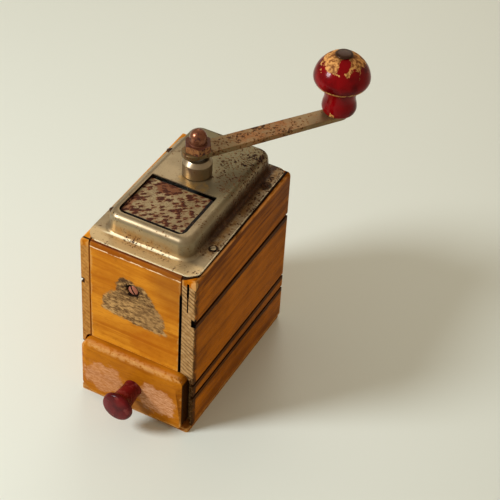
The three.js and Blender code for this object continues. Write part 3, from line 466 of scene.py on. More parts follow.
def rounded_rectangle(name, low, high, z, radii, lean, steps=12, spread=0.0):
    """radii run anticlockwise from the rear right; lean moves the rear left corner to the right,
    and spread the front right one."""
    piece = start_edit(name)
    middle = (low + high) / 2
    bpy.ops.transform.resize(value=(high.x - low.x, high.y - low.y, 1))
    bpy.ops.transform.translate(value=(middle.x, middle.y, z))
    ends = [(high.x, high.y), (low.x, high.y), (low.x, low.y), (high.x, low.y)]
    for (x, y), radius in zip(ends, radii):
        select_where(piece, lambda place: abs(place.x - x) + abs(place.y - y) < touching)
        bpy.ops.mesh.bevel(offset=radius, offset_type="ABSOLUTE", affect="VERTICES",
                           segments=steps, profile=0.5)
    for shift, rear in ((lean, True), (spread, False)):
        select_where(piece, lambda place: (place.x < middle.x) == rear == (place.y > middle.y))
        bpy.ops.transform.translate(value=(shift, 0, 0))
    bpy.ops.object.mode_set(mode="OBJECT")
    return piece


cover = rounded_rectangle("pressed_cover", flange_low, cover_high, flange_top, flange_radii,
                          flange_lean, spread=front_spread)
foot = rounded_rectangle("foot", dome_low, dome_high, flange_top, dome_radii, dome_lean)
edit(cover, "OBJECT")
foot.select_set(True)
bpy.ops.object.join()
edit(cover)
bpy.ops.mesh.select_all(action="SELECT")
bpy.ops.mesh.delete(type="ONLY_FACE")
bpy.ops.mesh.select_all(action="SELECT")
bpy.ops.mesh.bridge_edge_loops()
print("flange:", len(cover.data.vertices), "points")

# %% [markdown]
# The dome is the foot's face pulled up and drawn in. Bevels make its foot and its shoulder, and
# Solidify gives the sheet its thickness, downwards from the outer face.

# %% Dome of the pressed cover
dome_draft, dome_shoulder, foot_fillet = 1.2 * mm, 4 * mm, 1.9 * mm


def in_foot(place, margin=0.2 * mm):
    return (dome_low.x - margin < place.x < dome_high.x + margin
            and dome_low.y - margin < place.y < dome_high.y + margin)


select_where(cover, lambda place: in_foot(place) and place.z < flange_top + mm)
bpy.ops.mesh.edge_face_add()
draw_out(0, 0, top - flange_top)
draw_in = [1 - 2 * dome_draft / (dome_high[i] - dome_low[i]) for i in (0, 1)]
bpy.ops.transform.resize(value=(*draw_in, 1), center_override=(dome_middle.x, dome_middle.y, top))
select_where(cover, lambda place: place.z > top - touching, "EDGE")
bpy.ops.mesh.bevel(offset=dome_shoulder, affect="EDGES", segments=8, profile=0.5)
select_where(cover, lambda place: in_foot(place) and place.z < flange_top + touching, "EDGE")
bpy.ops.mesh.bevel(offset=foot_fillet, affect="EDGES", segments=4, profile=0.5)
face_outwards()
bpy.ops.object.mode_set(mode="OBJECT")
thickness = cover.modifiers.new("sheet", "SOLIDIFY")
thickness.thickness = sheet
thickness.offset = -1
thickness.use_even_offset = True
upward = sum(face.normal.z * face.area for face in cover.data.polygons)
if upward < 0:
    cover.data.flip_normals()
bpy.ops.object.modifier_apply(modifier=thickness.name)
print("cover faces:", len(cover.data.polygons), "upward:", round(upward, 5))

# %% [markdown]
# The bean opening has round front corners and square rear ones. It and the holes for the bush and
# the screws are punched after the pressing, so they are cut with tools here too. The two ears that
# hold the lid's pin are spot welded under the dome.

# %% Openings in the cover
opening_low = dome_low + Vector((5.4, 5.6, 0)) * mm
opening_high = Vector((dome_high.x - 7.75 * mm, mill_centre.y - 14.8 * mm, 0))
opening_radii, opening_lean, punch = [0.8 * mm, 0.8 * mm, 5 * mm, 5 * mm], 0.6 * mm, 4 * mm
opening = rounded_rectangle("opening", opening_low, opening_high, top - punch, opening_radii,
                            opening_lean, steps=8)
edit(opening)
bpy.ops.mesh.select_all(action="SELECT")
draw_out(0, 0, 2 * punch)
face_outwards()
bpy.ops.object.mode_set(mode="OBJECT")
combine(cover, opening, "DIFFERENCE")


def round_hole(piece, place, bottom, top, radius):
    tool = spun("drill", rod(bottom, top, radius), (place.x, place.y, 0), steps=40)
    combine(piece, tool, "DIFFERENCE")


neck_hole, screw_hole, left_screws_in = 7.3 * mm, 1.65 * mm, 1.4 * mm
round_hole(cover, mill_centre, top - punch, top + punch, neck_hole)
flange_seats = []
for i in range(4):
    screw_low, screw_high = corners(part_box(f"cover_screw_{i + 1}"))
    seat = (screw_low + screw_high) / 2
    seat.z = flange_top
    if seat.x < 0:
        seat.x += left_screws_in
    flange_seats.append(seat)
    round_hole(cover, seat, cover_low.z - mm, flange_top + mm, screw_hole)

pin_low, pin_high = corners(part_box("lid_hinge_pin"))
pin_centre = (pin_low + pin_high) / 2
ear_width, ear_depth, from_pin_end = 1 * mm, 4 * mm, 0.8 * mm
ear_low, ear_high = pin_centre.z - ear_depth / 2, top - 0.6 * mm
for x in (pin_low.x + from_pin_end, pin_high.x - from_pin_end):
    deselect()
    bpy.ops.mesh.primitive_cube_add(size=1, location=(x, pin_centre.y, (ear_low + ear_high) / 2))
    ear = bpy.context.object
    ear.scale = (ear_width, ear_depth, ear_high - ear_low)
    combine(cover, ear, "UNION")
finish_piece(cover, "case", "nickel_plate", "top_cover")

# %% [markdown]
# The cover's four screws and the panel's one have low domed heads with a filed slot. One is spun
# and slotted for each size, and the cover's is copied to its four places with its slot turned.

# %% Slotted screws
def copy_of(source, name):
    piece = bpy.data.objects.new(name, source.data.copy())
    bpy.context.scene.collection.objects.link(piece)
    return piece


def slotted_screw(head_radius, head_height, shank, length, slot_width, slot_depth):
    rim = head_height * 0.3
    profile = [(0, -length), (shank, -length * 0.75), (shank, 0), (head_radius - rim / 2, 0),
               *rounded(head_radius, rim, head_height - rim, 6), (0, head_height)]
    screw = spun("screw_pattern", profile, (0, 0, 0), steps=40)
    deselect()
    bpy.ops.mesh.primitive_cube_add(size=1, location=(0, 0, head_height))
    slot = bpy.context.object
    slot.scale = (head_radius * 3, slot_width, slot_depth * 2)
    combine(screw, slot, "DIFFERENCE")
    return screw


def screw_copy(screw, name, place, turn, lean=0.0):
    piece = copy_of(screw, name)
    piece.matrix_world = (Matrix.Translation(place) @ Matrix.Rotation(lean, 4, "X")
                          @ Matrix.Rotation(turn, 4, "Z"))
    return piece


cover_slot_turns = [math.radians(turn) for turn in (18, 63, 36, -27)]
cover_head_radius, cover_head = 2.3 * mm, 0.8 * mm
pattern = slotted_screw(cover_head_radius, cover_head, shank=1.4 * mm, length=12 * mm,
                        slot_width=0.7 * mm, slot_depth=0.4 * mm)
cover_screws = []
for i, (slot_turn, seat) in enumerate(zip(cover_slot_turns, flange_seats)):
    piece = screw_copy(pattern, f"flange_screw_{i + 1}", seat, slot_turn)
    cover_screws.append(finish_piece(piece, "case", "nickel_plate", f"cover_screw_{i + 1}"))
bpy.data.objects.remove(pattern)

screw_low, screw_high = corners(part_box("panel_screw"))
panel_head = 1.4 * mm
panel_screw_place = (screw_low + screw_high) / 2
panel_screw_place.y = screw_low.y + panel_head
panel_slot_turn = math.radians(-60)
pattern = slotted_screw(3.5 * mm, panel_head, shank=1.6 * mm, length=6 * mm,
                        slot_width=0.9 * mm, slot_depth=0.7 * mm)
panel_screw = screw_copy(pattern, "slotted_panel_screw", panel_screw_place, panel_slot_turn,
                         lean=math.pi / 2)
finish_piece(panel_screw, "case", "browned_steel", "panel_screw")
bpy.data.objects.remove(pattern)

# %% [markdown]
# The right board's front end has split near its top, a corner of its groove has broken out, and its
# thin wall beside the drawer is splintered. Each is cut with a sheet whose points were shaken.

# %% Tools for the splits
board_low, board_high = corners(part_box("side_board_right"))
case_front, right_face = board_low.y, board_high.x
outer_edge = right_face / mm


def ragged_tool(name, across, upright, depth, grid, shake, seed):
    """A sheet in X and Z, its points shaken, drawn out to the front. Sizes are in millimetres."""
    (x0, x1), (z0, z1) = across, upright
    front, back = case_front - 4 * mm, case_front + depth * mm
    deselect()
    bpy.ops.mesh.primitive_grid_add(
        x_subdivisions=grid[0], y_subdivisions=grid[1], size=1,
        location=((x0 + x1) / 2 * mm, back, (z0 + z1) / 2 * mm), rotation=(math.pi / 2, 0, 0))
    tool = bpy.context.object
    tool.name = name
    tool.scale = ((x1 - x0) * mm, (z1 - z0) * mm, 1)
    bpy.ops.object.transform_apply(location=True, rotation=True, scale=True)
    edit(tool)
    bpy.ops.mesh.select_all(action="SELECT")
    bpy.ops.transform.vertex_random(offset=shake * mm, seed=seed)
    draw_out(0, front - back, 0)
    face_outwards()
    bpy.ops.object.mode_set(mode="OBJECT")
    return tool


split_tools = [ragged_tool(*sizes) for sizes in (
    ("crack", (33.7, 35.2), (110, 121.5), 2.6, (1, 6), 0.22, 4),
    ("crack_tail", (34.0, 34.9), (98.5, 110.6), 2.0, (1, 6), 0.16, 5),
    ("notch", (outer_edge - 2.6, outer_edge + 0.6), (88.4, 94.2), 1.6, (3, 5), 0.35, 11),
    ("splinters", (outer_edge - 2.2, outer_edge + 0.6), (2, 45), 0.5, (4, 34), 0.45, 7))]
print("tools:", [tool.name for tool in split_tools])

# %% [markdown]
# Boards and panels keep the frame's exact shape, but no old wooden edge is sharp. A copy of each is
# merged, its flat faces are joined up, and its edges are bevelled by the wear they show.

# %% Worn copies of the boards
def worn_copy(node, body, slot, radius, segments=3, cuts=()):
    piece = copy_of(nodes[node], "worn_" + node)
    edit(piece)
    merge(2e-6)
    bpy.ops.mesh.select_all(action="SELECT")
    bpy.ops.mesh.dissolve_limited(angle_limit=math.radians(1))
    bpy.ops.mesh.select_all(action="DESELECT")
    bpy.ops.mesh.edges_select_sharp(sharpness=math.radians(35))
    bpy.ops.mesh.bevel(offset=radius, affect="EDGES", segments=segments, profile=0.5,
                       clamp_overlap=True)
    bpy.ops.object.mode_set(mode="OBJECT")
    for tool in cuts:
        combine(piece, tool, "DIFFERENCE")
    return finish_piece(piece, body, slot, node, merged=1e-7)


side_left = worn_copy("side_board_left", "case", "wood_varnished", 0.5 * mm)
side_right = worn_copy("side_board_right", "case", "wood_varnished", 0.6 * mm, cuts=split_tools)
front_panel = worn_copy("front_panel", "case", "wood_varnished", 0.3 * mm)
back_panel = worn_copy("back_panel", "case", "wood_varnished", 0.4 * mm)
base_board = worn_copy("base_board", "case", "wood_varnished", 0.7 * mm)
drawer_front = worn_copy("drawer_front", "drawer", "wood_varnished", 0.7 * mm)
bean_lid = worn_copy("bean_lid", "lid", "rusty_steel", 0.15 * mm, segments=2)

# %% [markdown]
# A wire spring, coiled round the lid's pin, shuts the lid. Its short leg bears on the dome's wall
# and its long leg lies under the lid, so that leg has to swing down with it. The frame's own wire
# is copied and rides on no body.

# %% Lid spring
lid_spring = copy_of(nodes["lid_spring"], "sprung_wire")
finish_piece(lid_spring, None, "bright_steel", "lid_spring")
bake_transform(lid_spring)

# %% [markdown]
# Every material below is built from nodes on Object coordinates, which are metres here. A small
# class keeps the wiring readable: it adds a node, sets its values and links its inputs.

# %% Node helpers
def colour(red, green, blue):
    """A colour as it looks on screen, 0 to 255, turned into the shader's linear values."""
    def linear(value):
        share = value / 255
        return share / 12.92 if share <= 0.04045 else ((share + 0.055) / 1.055) ** 2.4
    return (linear(red), linear(green), linear(blue), 1)


class Tree:
    """The nodes of a material or a group. A value is a number, a socket or a node."""

    def __init__(self, tree):
        self.tree = tree

    def add(self, kind, values=None, **settings):
        node = self.tree.nodes.new("ShaderNode" + kind)
        for key, value in settings.items():
            setattr(node, key, value)
        for key, value in (values or {}).items():
            self.feed(node.inputs[key], value)
        return node

    def feed(self, socket, value):
        if isinstance(value, bpy.types.NodeSocket):
            self.tree.links.new(value, socket)
        elif isinstance(value, bpy.types.Node):
            self.tree.links.new(value.outputs[0], socket)
        else:
            socket.default_value = value

    def math(self, operation, *values, clamp=False):
        node = self.add("Math", operation=operation, use_clamp=clamp)
        for socket, value in zip(node.inputs, values):
            self.feed(socket, value)
        return node.outputs[0]

    def plus(self, first, second):
        return self.math("ADD", first, second)

    def minus(self, first, second):
        return self.math("SUBTRACT", first, second)

    def times(self, first, second):
        return self.math("MULTIPLY", first, second)

    def vector(self, operation, *values):
        node = self.add("VectorMath", operation=operation)
        for socket, value in zip(node.inputs, values):
            self.feed(socket, value)
        is_number = operation in ("LENGTH", "DOT_PRODUCT", "DISTANCE")
        return node.outputs["Value" if is_number else "Vector"]

    def ramp(self, value, start, end, to_start=0.0, to_end=1.0, kind="LINEAR"):
        node = self.add("MapRange", interpolation_type=kind)
        for socket, item in zip(node.inputs, (value, start, end, to_start, to_end)):
            self.feed(socket, item)
        return node.outputs[0]

    def step(self, *levels):
        """A soft step from 0 to 1 while a value goes from the start to the end."""
        return self.ramp(*levels, kind="SMOOTHSTEP")

    def stretched(self, place, scale):
        return self.add("Mapping", {"Vector": place, "Scale": scale}).outputs[0]

    def noise(self, place, scale, detail=3.0, roughness=0.55, distortion=0.0):
        """A scale of three numbers draws the noise out along an axis."""
        if isinstance(scale, tuple):
            place, scale = self.stretched(place, scale), 1.0
        values = {"Vector": place, "Scale": scale, "Detail": detail,
                  "Roughness": roughness, "Distortion": distortion}
        return self.add("TexNoise", values).outputs["Fac"]

    def mix(self, share, first, second):
        node = self.add("Mix", data_type="RGBA")
        self.feed(node.inputs["Factor"], share)
        colour_a, colour_b, colour_out = 6, 7, 2
        self.feed(node.inputs[colour_a], first)
        self.feed(node.inputs[colour_b], second)
        return node.outputs[colour_out]


print("dirt's colour:", [round(v, 4) for v in colour(14, 7, 3)])

# %% [markdown]
# Dirt and wear lie at known places, so their masks come from a point's own coordinates and are
# broken up with noise. Masks are joined by their product or their largest, and a finish is painted
# in coats, as on the real thing: each coat has its mask, its strength and its colour.

# %% Mask helpers
class Painter(Tree):
    """A tree that also makes masks and lays coats of colour."""

    def both(self, mask, *others):
        """Where all masks are: their product."""
        for other in others:
            mask = self.times(mask, other)
        return mask

    def most(self, mask, *others):
        """Where any mask is: the largest."""
        for other in others:
            mask = self.math("MAXIMUM", mask, other)
        return mask

    def axes(self, place):
        return self.add("SeparateXYZ", {"Vector": place}).outputs

    def turned(self, place, rotation):
        return self.add("Mapping", {"Vector": place, "Rotation": rotation}).outputs[0]

    def far(self, place, centre, counts=(1, 1, 0)):
        """The distance from the centre, with each axis times its count."""
        away = self.vector("SUBTRACT", place, tuple(centre))
        return self.vector("LENGTH", self.vector("MULTIPLY", away, counts))

    def blotches(self, place, scale, start, end, detail=4.0, roughness=0.65):
        """A noise cut between two levels."""
        return self.step(self.noise(place, scale, detail, roughness), start, end)

    def band(self, value, centre, full, fade):
        """1 within full of the centre, falling to 0 over the fade."""
        away = self.math("ABSOLUTE", self.minus(value, centre))
        return self.step(away, full + fade, full)

    def within(self, place, **limits):
        """Inside soft limits in mm along x, y and z: two numbers are a step, three a band."""
        masks = []
        for axis, limit in limits.items():
            shape = self.step if len(limit) == 2 else self.band
            masks.append(shape(self.axes(place)[axis.upper()], *(v * mm for v in limit)))
        return self.both(*masks)

    def spot(self, place, centre, reach, ragged=0.9, scale=130.0):
        """1 inside an oval with a ragged rim; an axis whose reach is 0 doesn't count."""
        away = self.far(place, centre, [1 / r if r else 0 for r in reach])
        rim = self.times(self.minus(self.noise(place, scale, 4.0, 0.65), 0.5), ragged * 2)
        return self.step(self.plus(away, rim), 1.15, 0.85)

    def layers(self, tone, *coats):
        """Coats of colour over a tone: each has its mask, its strength and its screen colour."""
        for mask, strength, paint in coats:
            share = mask if strength == 1 else self.times(mask, strength)
            tone = self.mix(share, tone, colour(*paint))
        return tone


print("a painter makes:", [name for name in vars(Painter) if name[0] != "_"])

# %% [markdown]
# A material starts from its shader and the point's place on the piece. An effect that several
# materials use is a group with named inputs and outputs, which each material places and feeds.

# %% Materials and groups
def new_material(name):
    material = bpy.data.materials.new(name)
    material.use_nodes = True
    tree = Painter(material.node_tree)
    shader = material.node_tree.nodes["Principled BSDF"].inputs
    place = tree.add("TexCoord").outputs["Object"]
    return material, tree, shader, place


def facing(tree):
    return tree.tree.nodes["Texture Coordinate"].outputs["Normal"]


def new_group(name, inputs, outputs):
    group = bpy.data.node_groups.new(name, "ShaderNodeTree")
    for title, kind, default in inputs:
        socket = group.interface.new_socket(title, in_out="INPUT", socket_type="NodeSocket" + kind)
        if default is not None:
            socket.default_value = default
    for title, kind in outputs:
        group.interface.new_socket(title, in_out="OUTPUT", socket_type="NodeSocket" + kind)
    given = group.nodes.new("NodeGroupInput").outputs
    result = group.nodes.new("NodeGroupOutput").inputs
    print("group:", name)
    return Painter(group), given, result


def use(tree, group_name, **values):
    node = tree.tree.nodes.new("ShaderNodeGroup")
    node.node_tree = bpy.data.node_groups[group_name]
    for key, value in values.items():
        tree.feed(node.inputs[key], value)
    return node.outputs


def bump(tree, shader, height, strength, distance):
    node = tree.add("Bump", {"Height": height, "Strength": strength, "Distance": distance})
    tree.feed(shader["Normal"], node)


def dress(material, *pieces):
    for piece in pieces:
        item = nodes[piece] if isinstance(piece, str) else piece
        item.data.materials.clear()
        item.data.materials.append(material)
    print(material.name, "on", len(pieces), "piece" if len(pieces) == 1 else "pieces")


# %% [markdown]
# Wood grain is noise drawn out along the board. Broad bands give the figure, fine short strokes the
# pores, and a slow noise the patches where the varnish has darkened.

# %% Wood grain group
tree, given, result = new_group(
    "Wood grain",
    [("Vector", "Vector", None), ("Light", "Color", (0.4, 0.2, 0.05, 1)),
     ("Dark", "Color", (0.2, 0.08, 0.01, 1)), ("Seed", "Float", 0.0)],
    [("Color", "Color"), ("Height", "Float")])
seeded = tree.vector("ADD", given["Vector"], given["Seed"])
bands = tree.noise(seeded, (9, 120, 120), 4.0, 0.6, 0.6)
patches = tree.noise(seeded, 38.0, 4.0, 0.6)
figure = tree.step(tree.plus(tree.times(bands, 0.7), tree.times(patches, 0.4)), 0.4, 0.72)
tone = tree.mix(figure, given["Light"], given["Dark"])
pores = tree.blotches(seeded, (150, 1000, 1000), 0.5, 0.72)
tree.feed(result["Color"], tree.mix(tree.times(pores, 0.6), tone, given["Dark"]))
tree.feed(result["Height"], tree.minus(tree.times(bands, 0.3), pores))

# %% [markdown]
# Wear gathers along a board's edges. The group measures how far a point lies from the faces of the
# board's box: near an edge two of the three distances are small, so the middle one is the measure.

# %% Edge wear group
tree, given, result = new_group(
    "Edge wear",
    [("Vector", "Vector", None), ("Low", "Vector", None), ("High", "Vector", None),
     ("Width", "Float", 0.001), ("Amount", "Float", 0.5)],
    [("Mask", "Float")])
inside = tree.vector("MINIMUM", tree.vector("SUBTRACT", given["Vector"], given["Low"]),
                     tree.vector("SUBTRACT", given["High"], given["Vector"]))
parts = tree.axes(inside)
small = tree.math("MINIMUM", parts[0], parts[1])
large = tree.math("MAXIMUM", parts[0], parts[1])
middle = tree.math("MAXIMUM", small, tree.math("MINIMUM", large, parts[2]))
ragged = tree.step(tree.noise(given["Vector"], 260.0, 4.0, 0.65), 0.3, 0.75, 0.3, 2.4)
near_edge = tree.step(tree.math("DIVIDE", middle, tree.times(given["Width"], ragged)), 1.0, 0.45)
tree.feed(result["Mask"], tree.math("MULTIPLY", near_edge, given["Amount"], clamp=True))

# %% [markdown]
# Rust comes as spots of very different sizes, dark in the middle and orange at the rim. Two noises
# are cut at a level, and how far a point lies over the level gives its colour.

# %% Rust group
tree, given, result = new_group(
    "Rust spots",
    [("Vector", "Vector", None), ("Scale", "Float", 300.0), ("Amount", "Float", 0.5),
     ("Seed", "Float", 0.0), ("Rim", "Color", (0.25, 0.1, 0.03, 1)),
     ("Core", "Color", (0.04, 0.01, 0, 1))],
    [("Mask", "Float"), ("Color", "Color"), ("Stain", "Float")])
seeded = tree.vector("ADD", given["Vector"], given["Seed"])
blots = tree.noise(seeded, given["Scale"], 5.0, 0.62, 0.4)
drift = tree.noise(seeded, tree.times(given["Scale"], 0.17), 2.0, 0.5)
level = tree.plus(blots, tree.times(tree.minus(drift, 0.5), 0.35))
over = tree.minus(level, tree.minus(0.82, tree.times(given["Amount"], 0.38)))
tree.feed(result["Mask"], tree.step(over, 0.0, 0.018))
tree.feed(result["Stain"], tree.step(over, -0.09, 0.01))
tree.feed(result["Color"], tree.mix(tree.step(over, 0.0, 0.06), given["Rim"], given["Core"]))

# %% [markdown]
# Varnished wood is the same on every outer board: honey brown, satin where the varnish holds, and
# pale and dull along the edges. Only the grain's direction and the board's box change, so one
# function makes a material for each board. The boards' top edges carry a near-black band along
# the cover's edge: painted shadow under the flange, with some dirt.

# %% Varnished wood
grain_turns = {"x": (0, 0, 0), "y": (0, 0, math.radians(-90)), "z": (0, math.radians(90), 0)}


def past_flange(tree, place):
    """How far a point lies outside the cover's flange, at its front and right edges."""
    x, y, _ = tree.axes(place)
    flange_right = tree.ramp(y, cover_high.y, cover_low.y, cover_high.x,
                             cover_high.x + front_spread)
    radius = flange_radii[3]
    over_x = tree.most(tree.plus(tree.minus(x, flange_right), radius), 0.0)
    over_y = tree.most(tree.minus(cover_low.y + radius, y), 0.0)
    reach = tree.vector("LENGTH", tree.add("CombineXYZ", {"X": over_x, "Y": over_y}))
    return tree.minus(reach, radius)


# Painted shadow with some dirt: a near-black band on the boards' tops just past the cover's edge.
def flange_shadow_and_dirt(tree, place):
    x = tree.axes(place)[0]
    width = tree.step(x, 12 * mm, 32 * mm, 0.25 * mm, 1.0 * mm)
    past = past_flange(tree, place)
    return tree.both(tree.step(past, -0.6 * mm, -0.3 * mm),
                     tree.step(tree.minus(past, width), 0.35 * mm, 0.0),
                     tree.within(place, z=(122, 123)))


def varnished(name, piece, along, light, dark, seed, wear=0.55):
    material, tree, shader, place = new_material(name)
    low, high = corners((piece.bound_box[0], piece.bound_box[6]))
    grain = use(tree, "Wood grain", Vector=tree.turned(place, grain_turns[along]),
                Light=light, Dark=dark, Seed=seed)
    edge = use(tree, "Edge wear", Vector=place, Low=low, High=high, Width=1.1 * mm,
               Amount=wear)[0]
    grime = tree.blotches(place, 75.0, 0.56, 0.76, 5.0)
    tone = tree.layers(grain["Color"],
                       (grime, 0.4, (112, 56, 8)),
                       (edge, 1, (206, 152, 82)),
                       (flange_shadow_and_dirt(tree, place), 0.96, (14, 7, 3)))
    tree.feed(shader["Base Color"], tone)
    tree.feed(shader["Roughness"], tree.plus(tree.times(edge, 0.25), 0.38))
    shader["Specular IOR Level"].default_value = 0.03
    bump(tree, shader, grain["Height"], 0.25, 0.2 * mm)
    dress(material, piece)
    return tree, shader, place, tone


honey, amber = colour(214, 140, 36), colour(170, 95, 12)
varnished("varnish_back", back_panel, "x", honey, amber, 7.7)
varnished("varnish_base", base_board, "x", colour(166, 100, 40), colour(138, 76, 14), 9.2)

# %% [markdown]
# The side boards were sawn off by hand: slanting saw lines cross the grey end grain. Their grooves
# have filled with dark wax and dirt, and a ragged dark band below each groove is dirt and painted
# groove shade.

# %% Side boards
# For each groove its height and half width, and how far its band of dirt and painted shade hangs
# down and reaches, in mm.
groove_lines = [(28.0, 1.0, 1.4, 1.4), (38.6, 1.0, 1.4, 1.4), (90.8, 1.25, 1.8, 1.4)]
saw_pitch, saw_lean = 3.1 * mm, 0.62


def saw_lines(tree, place, strength):
    x, _, z = tree.axes(place)
    slant = tree.plus(z, tree.times(x, saw_lean))
    waver = tree.times(tree.noise(place, 120.0), 0.9)
    phase = tree.math("FRACT", tree.plus(tree.math("DIVIDE", slant, saw_pitch), waver))
    line = tree.step(tree.math("ABSOLUTE", tree.minus(phase, 0.5)), 0.3, 0.08)
    return tree.times(line, tree.step(tree.noise(place, 90.0), 0.35, 0.6,
                                      0.45 * strength, strength))


def side_board(name, piece, outer, seed, light, dark, end_light, end_dark, saw_marks, dirt):
    tree, shader, place, tone = varnished(name, piece, "y", light, dark, seed)
    x, _, z = tree.axes(place)
    sawn = tree.step(tree.math("ABSOLUTE", tree.axes(facing(tree))[1]), 0.7, 0.9)
    end_tone = tree.mix(tree.blotches(place, 300.0, 0.35, 0.65, roughness=0.7), end_light, end_dark)
    end_tone = tree.layers(end_tone, (saw_lines(tree, place, saw_marks), 1, (98, 68, 36)))
    worn_top = tree.ramp(tree.plus(z, tree.times(tree.noise(place, 400.0), 3 * mm)),
                         121.4 * mm, 120.2 * mm)
    tone = tree.mix(tree.times(sawn, worn_top), tone, end_tone)
    depth = tree.math("ABSOLUTE", tree.minus(x, outer))
    shaken = tree.plus(z, tree.times(tree.noise(place, 150.0, 4.0, 0.65), 1.8 * mm))
    in_groove = tree.most(*[tree.band(z, height * mm, (half + 0.45) * mm, 0.3 * mm)
                            for height, half, drop, reach in groove_lines])
    in_groove = tree.times(in_groove, tree.band(depth, 1.3 * mm, 1.1 * mm, 0.15 * mm))
    # Dirt and painted groove shade: a ragged dark band that hangs below each groove.
    beside = tree.most(*[tree.band(shaken, (height + 0.9 - drop) * mm, (half + reach) * mm,
                                   0.5 * mm) for height, half, drop, reach in groove_lines])
    beside = tree.both(beside, tree.step(depth, 0.3 * mm, 0.1 * mm), tree.step(sawn, 0.6, 0.2))
    tone = tree.layers(tone, (beside, dirt, (60, 31, 6)), (in_groove, 1, (58, 30, 8)))
    tree.feed(shader["Base Color"], tone)
    return tree, shader, place, tone


left_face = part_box("side_board_left")[0][0]
side_board("varnish_side_left", side_left, left_face, 1.3, honey, amber,
           colour(190, 134, 66), colour(160, 104, 42), saw_marks=0.3, dirt=0.35)
tree, shader, place, tone = side_board(
    "varnish_side_right", side_right, right_face, 4.1, colour(190, 106, 4), colour(126, 66, 0),
    colour(190, 150, 100), colour(156, 116, 68), saw_marks=0.8, dirt=0.88)

# %% [markdown]
# The right board is the one that the light strikes along. Its top is streaked, its upper edge has
# a painted highlight, its middle is scratched, and a darker strip runs down its front edge. Its
# crack, its broken notch and the gap by the panel are painted near black as shade, and its
# splintered wall beside the drawer's lip is painted dark as shade.

# %% Wear of the right board
streaks = tree.both(tree.within(place, x=(38, 39), z=(92, 112)),
                    tree.blotches(place, (260, 16, 260), 0.42, 0.62))
# Painted highlight along the right board's upper edge.
upper_edge = tree.both(tree.within(place, x=(38.2, 39.2), z=(121.8, 123.6)),
                       tree.blotches(place, (300, 60, 300), 0.36, 0.6))
scratches = tree.both(
    tree.blotches(place, (300, 60, 900), 0.66, 0.74, 2.0, 0.55),
    tree.spot(place, (39.6 * mm, -44 * mm, 70 * mm), (0, 10 * mm, 10 * mm)))
# Painted shade, dark brown, on the splintered wall beside the drawer's lip.
splintered_wall_shade = tree.both(tree.within(place, x=(34, 35.5), y=(-55.5, -56.8), z=(48, 44)),
                       tree.blotches(place, 420.0, 0.3, 0.5, roughness=0.7))
# A darker strip runs along the right face's front edge.
dark_front_strip = tree.both(tree.within(place, x=(38.8, 39.3), y=(-54.5, -58.6)),
                    tree.blotches(place, 330.0, 0.34, 0.56, roughness=0.7))
worn_corner = tree.both(
    tree.spot(place, (39 * mm, -59.6 * mm, 121.5 * mm), (2.6 * mm, 2.6 * mm, 3.4 * mm)),
    tree.step(past_flange(tree, place), 0.9 * mm, 1.3 * mm))
front = case_front / mm
# Painted shade: the crack, the broken notch and the gap by the panel are painted near black.
split = tree.within(place, x=(34.5, 1.0, 0.2), y=(front + 1.7, 1.5, 0.1), z=(110, 11.6, 0.5))
broken = tree.within(place, x=(36.4, 36.9), y=(front + 1, 0.9, 0.1), z=(91.2, 3.4, 0.3))
panel_gap = tree.within(place, x=(30.9, 30.7), z=(112, 109))
tone = tree.layers(tone,
                   (streaks, 0.8, (96, 44, 0)),
                   (upper_edge, 0.85, (240, 160, 84)),
                   (scratches, 0.6, (226, 176, 100)),
                   (splintered_wall_shade, 0.85, (62, 34, 10)),
                   (dark_front_strip, 0.8, (60, 34, 10)),
                   (worn_corner, 0.7, (214, 158, 92)),
                   (tree.most(split, broken, panel_gap), 1, (9, 4, 2)))
tree.feed(shader["Base Color"], tone)
print("right board:", len(tree.tree.nodes), "nodes")

# %% [markdown]
# The front panel has lost its varnish round the screw, in a patch with a straight lower edge. The
# patch is drawn by straight cuts: a point is bare if it lies inside all of them, or in the hump
# round the screw.

# %% Bare patch of the front panel
tree, shader, place, tone = varnished("varnish_panel", front_panel, "x", honey, amber, 2.6)
patch_corners = [(-24.8, 84.4), (-16, 93.2), (-6, 100.8), (1.7, 104.7), (8.6, 98.2), (18.0, 84),
                 (20.2, 71.2), (-0.5, 71.6), (-24.0, 74.4)]
ragged = tree.add("TexNoise", {"Vector": place, "Scale": 260.0, "Detail": 5.0, "Roughness": 0.75})
shift = tree.vector("SUBTRACT", ragged.outputs["Color"], (0.5, 0.5, 0.5))
shaken = tree.vector("ADD", place, tree.vector("MULTIPLY", shift, (8 * mm, 8 * mm, 8 * mm)))
depths = []
for (x0, z0), (x1, z1) in zip(patch_corners, patch_corners[1:] + patch_corners[:1]):
    outward = Vector((-(z1 - z0), 0, x1 - x0)).normalized()
    depths.append(tree.minus(tree.vector("DOT_PRODUCT", shaken, outward),
                             outward.dot(Vector((x0 * mm, 0, z0 * mm)))))
hump = tree.vector("DISTANCE", shaken, (-6.6 * mm, case_front, 97.4 * mm))
bare = tree.math("MINIMUM", tree.most(*depths), tree.minus(hump, 8.4 * mm))
bare_mask = tree.step(bare, 1.1 * mm, -0.9 * mm)
print("patch:", len(patch_corners), "corners")

# %% [markdown]
# The bare wood is grey brown with fine fibres along the panel, and a dark ring of oil lies round
# the screw. The varnish beside it has a painted pool of light at the lower right and is dull above.
# The panel's top edge has painted shadow under the cover, with a broken painted highlight along it,
# and the gap at its right end is painted black as shade.

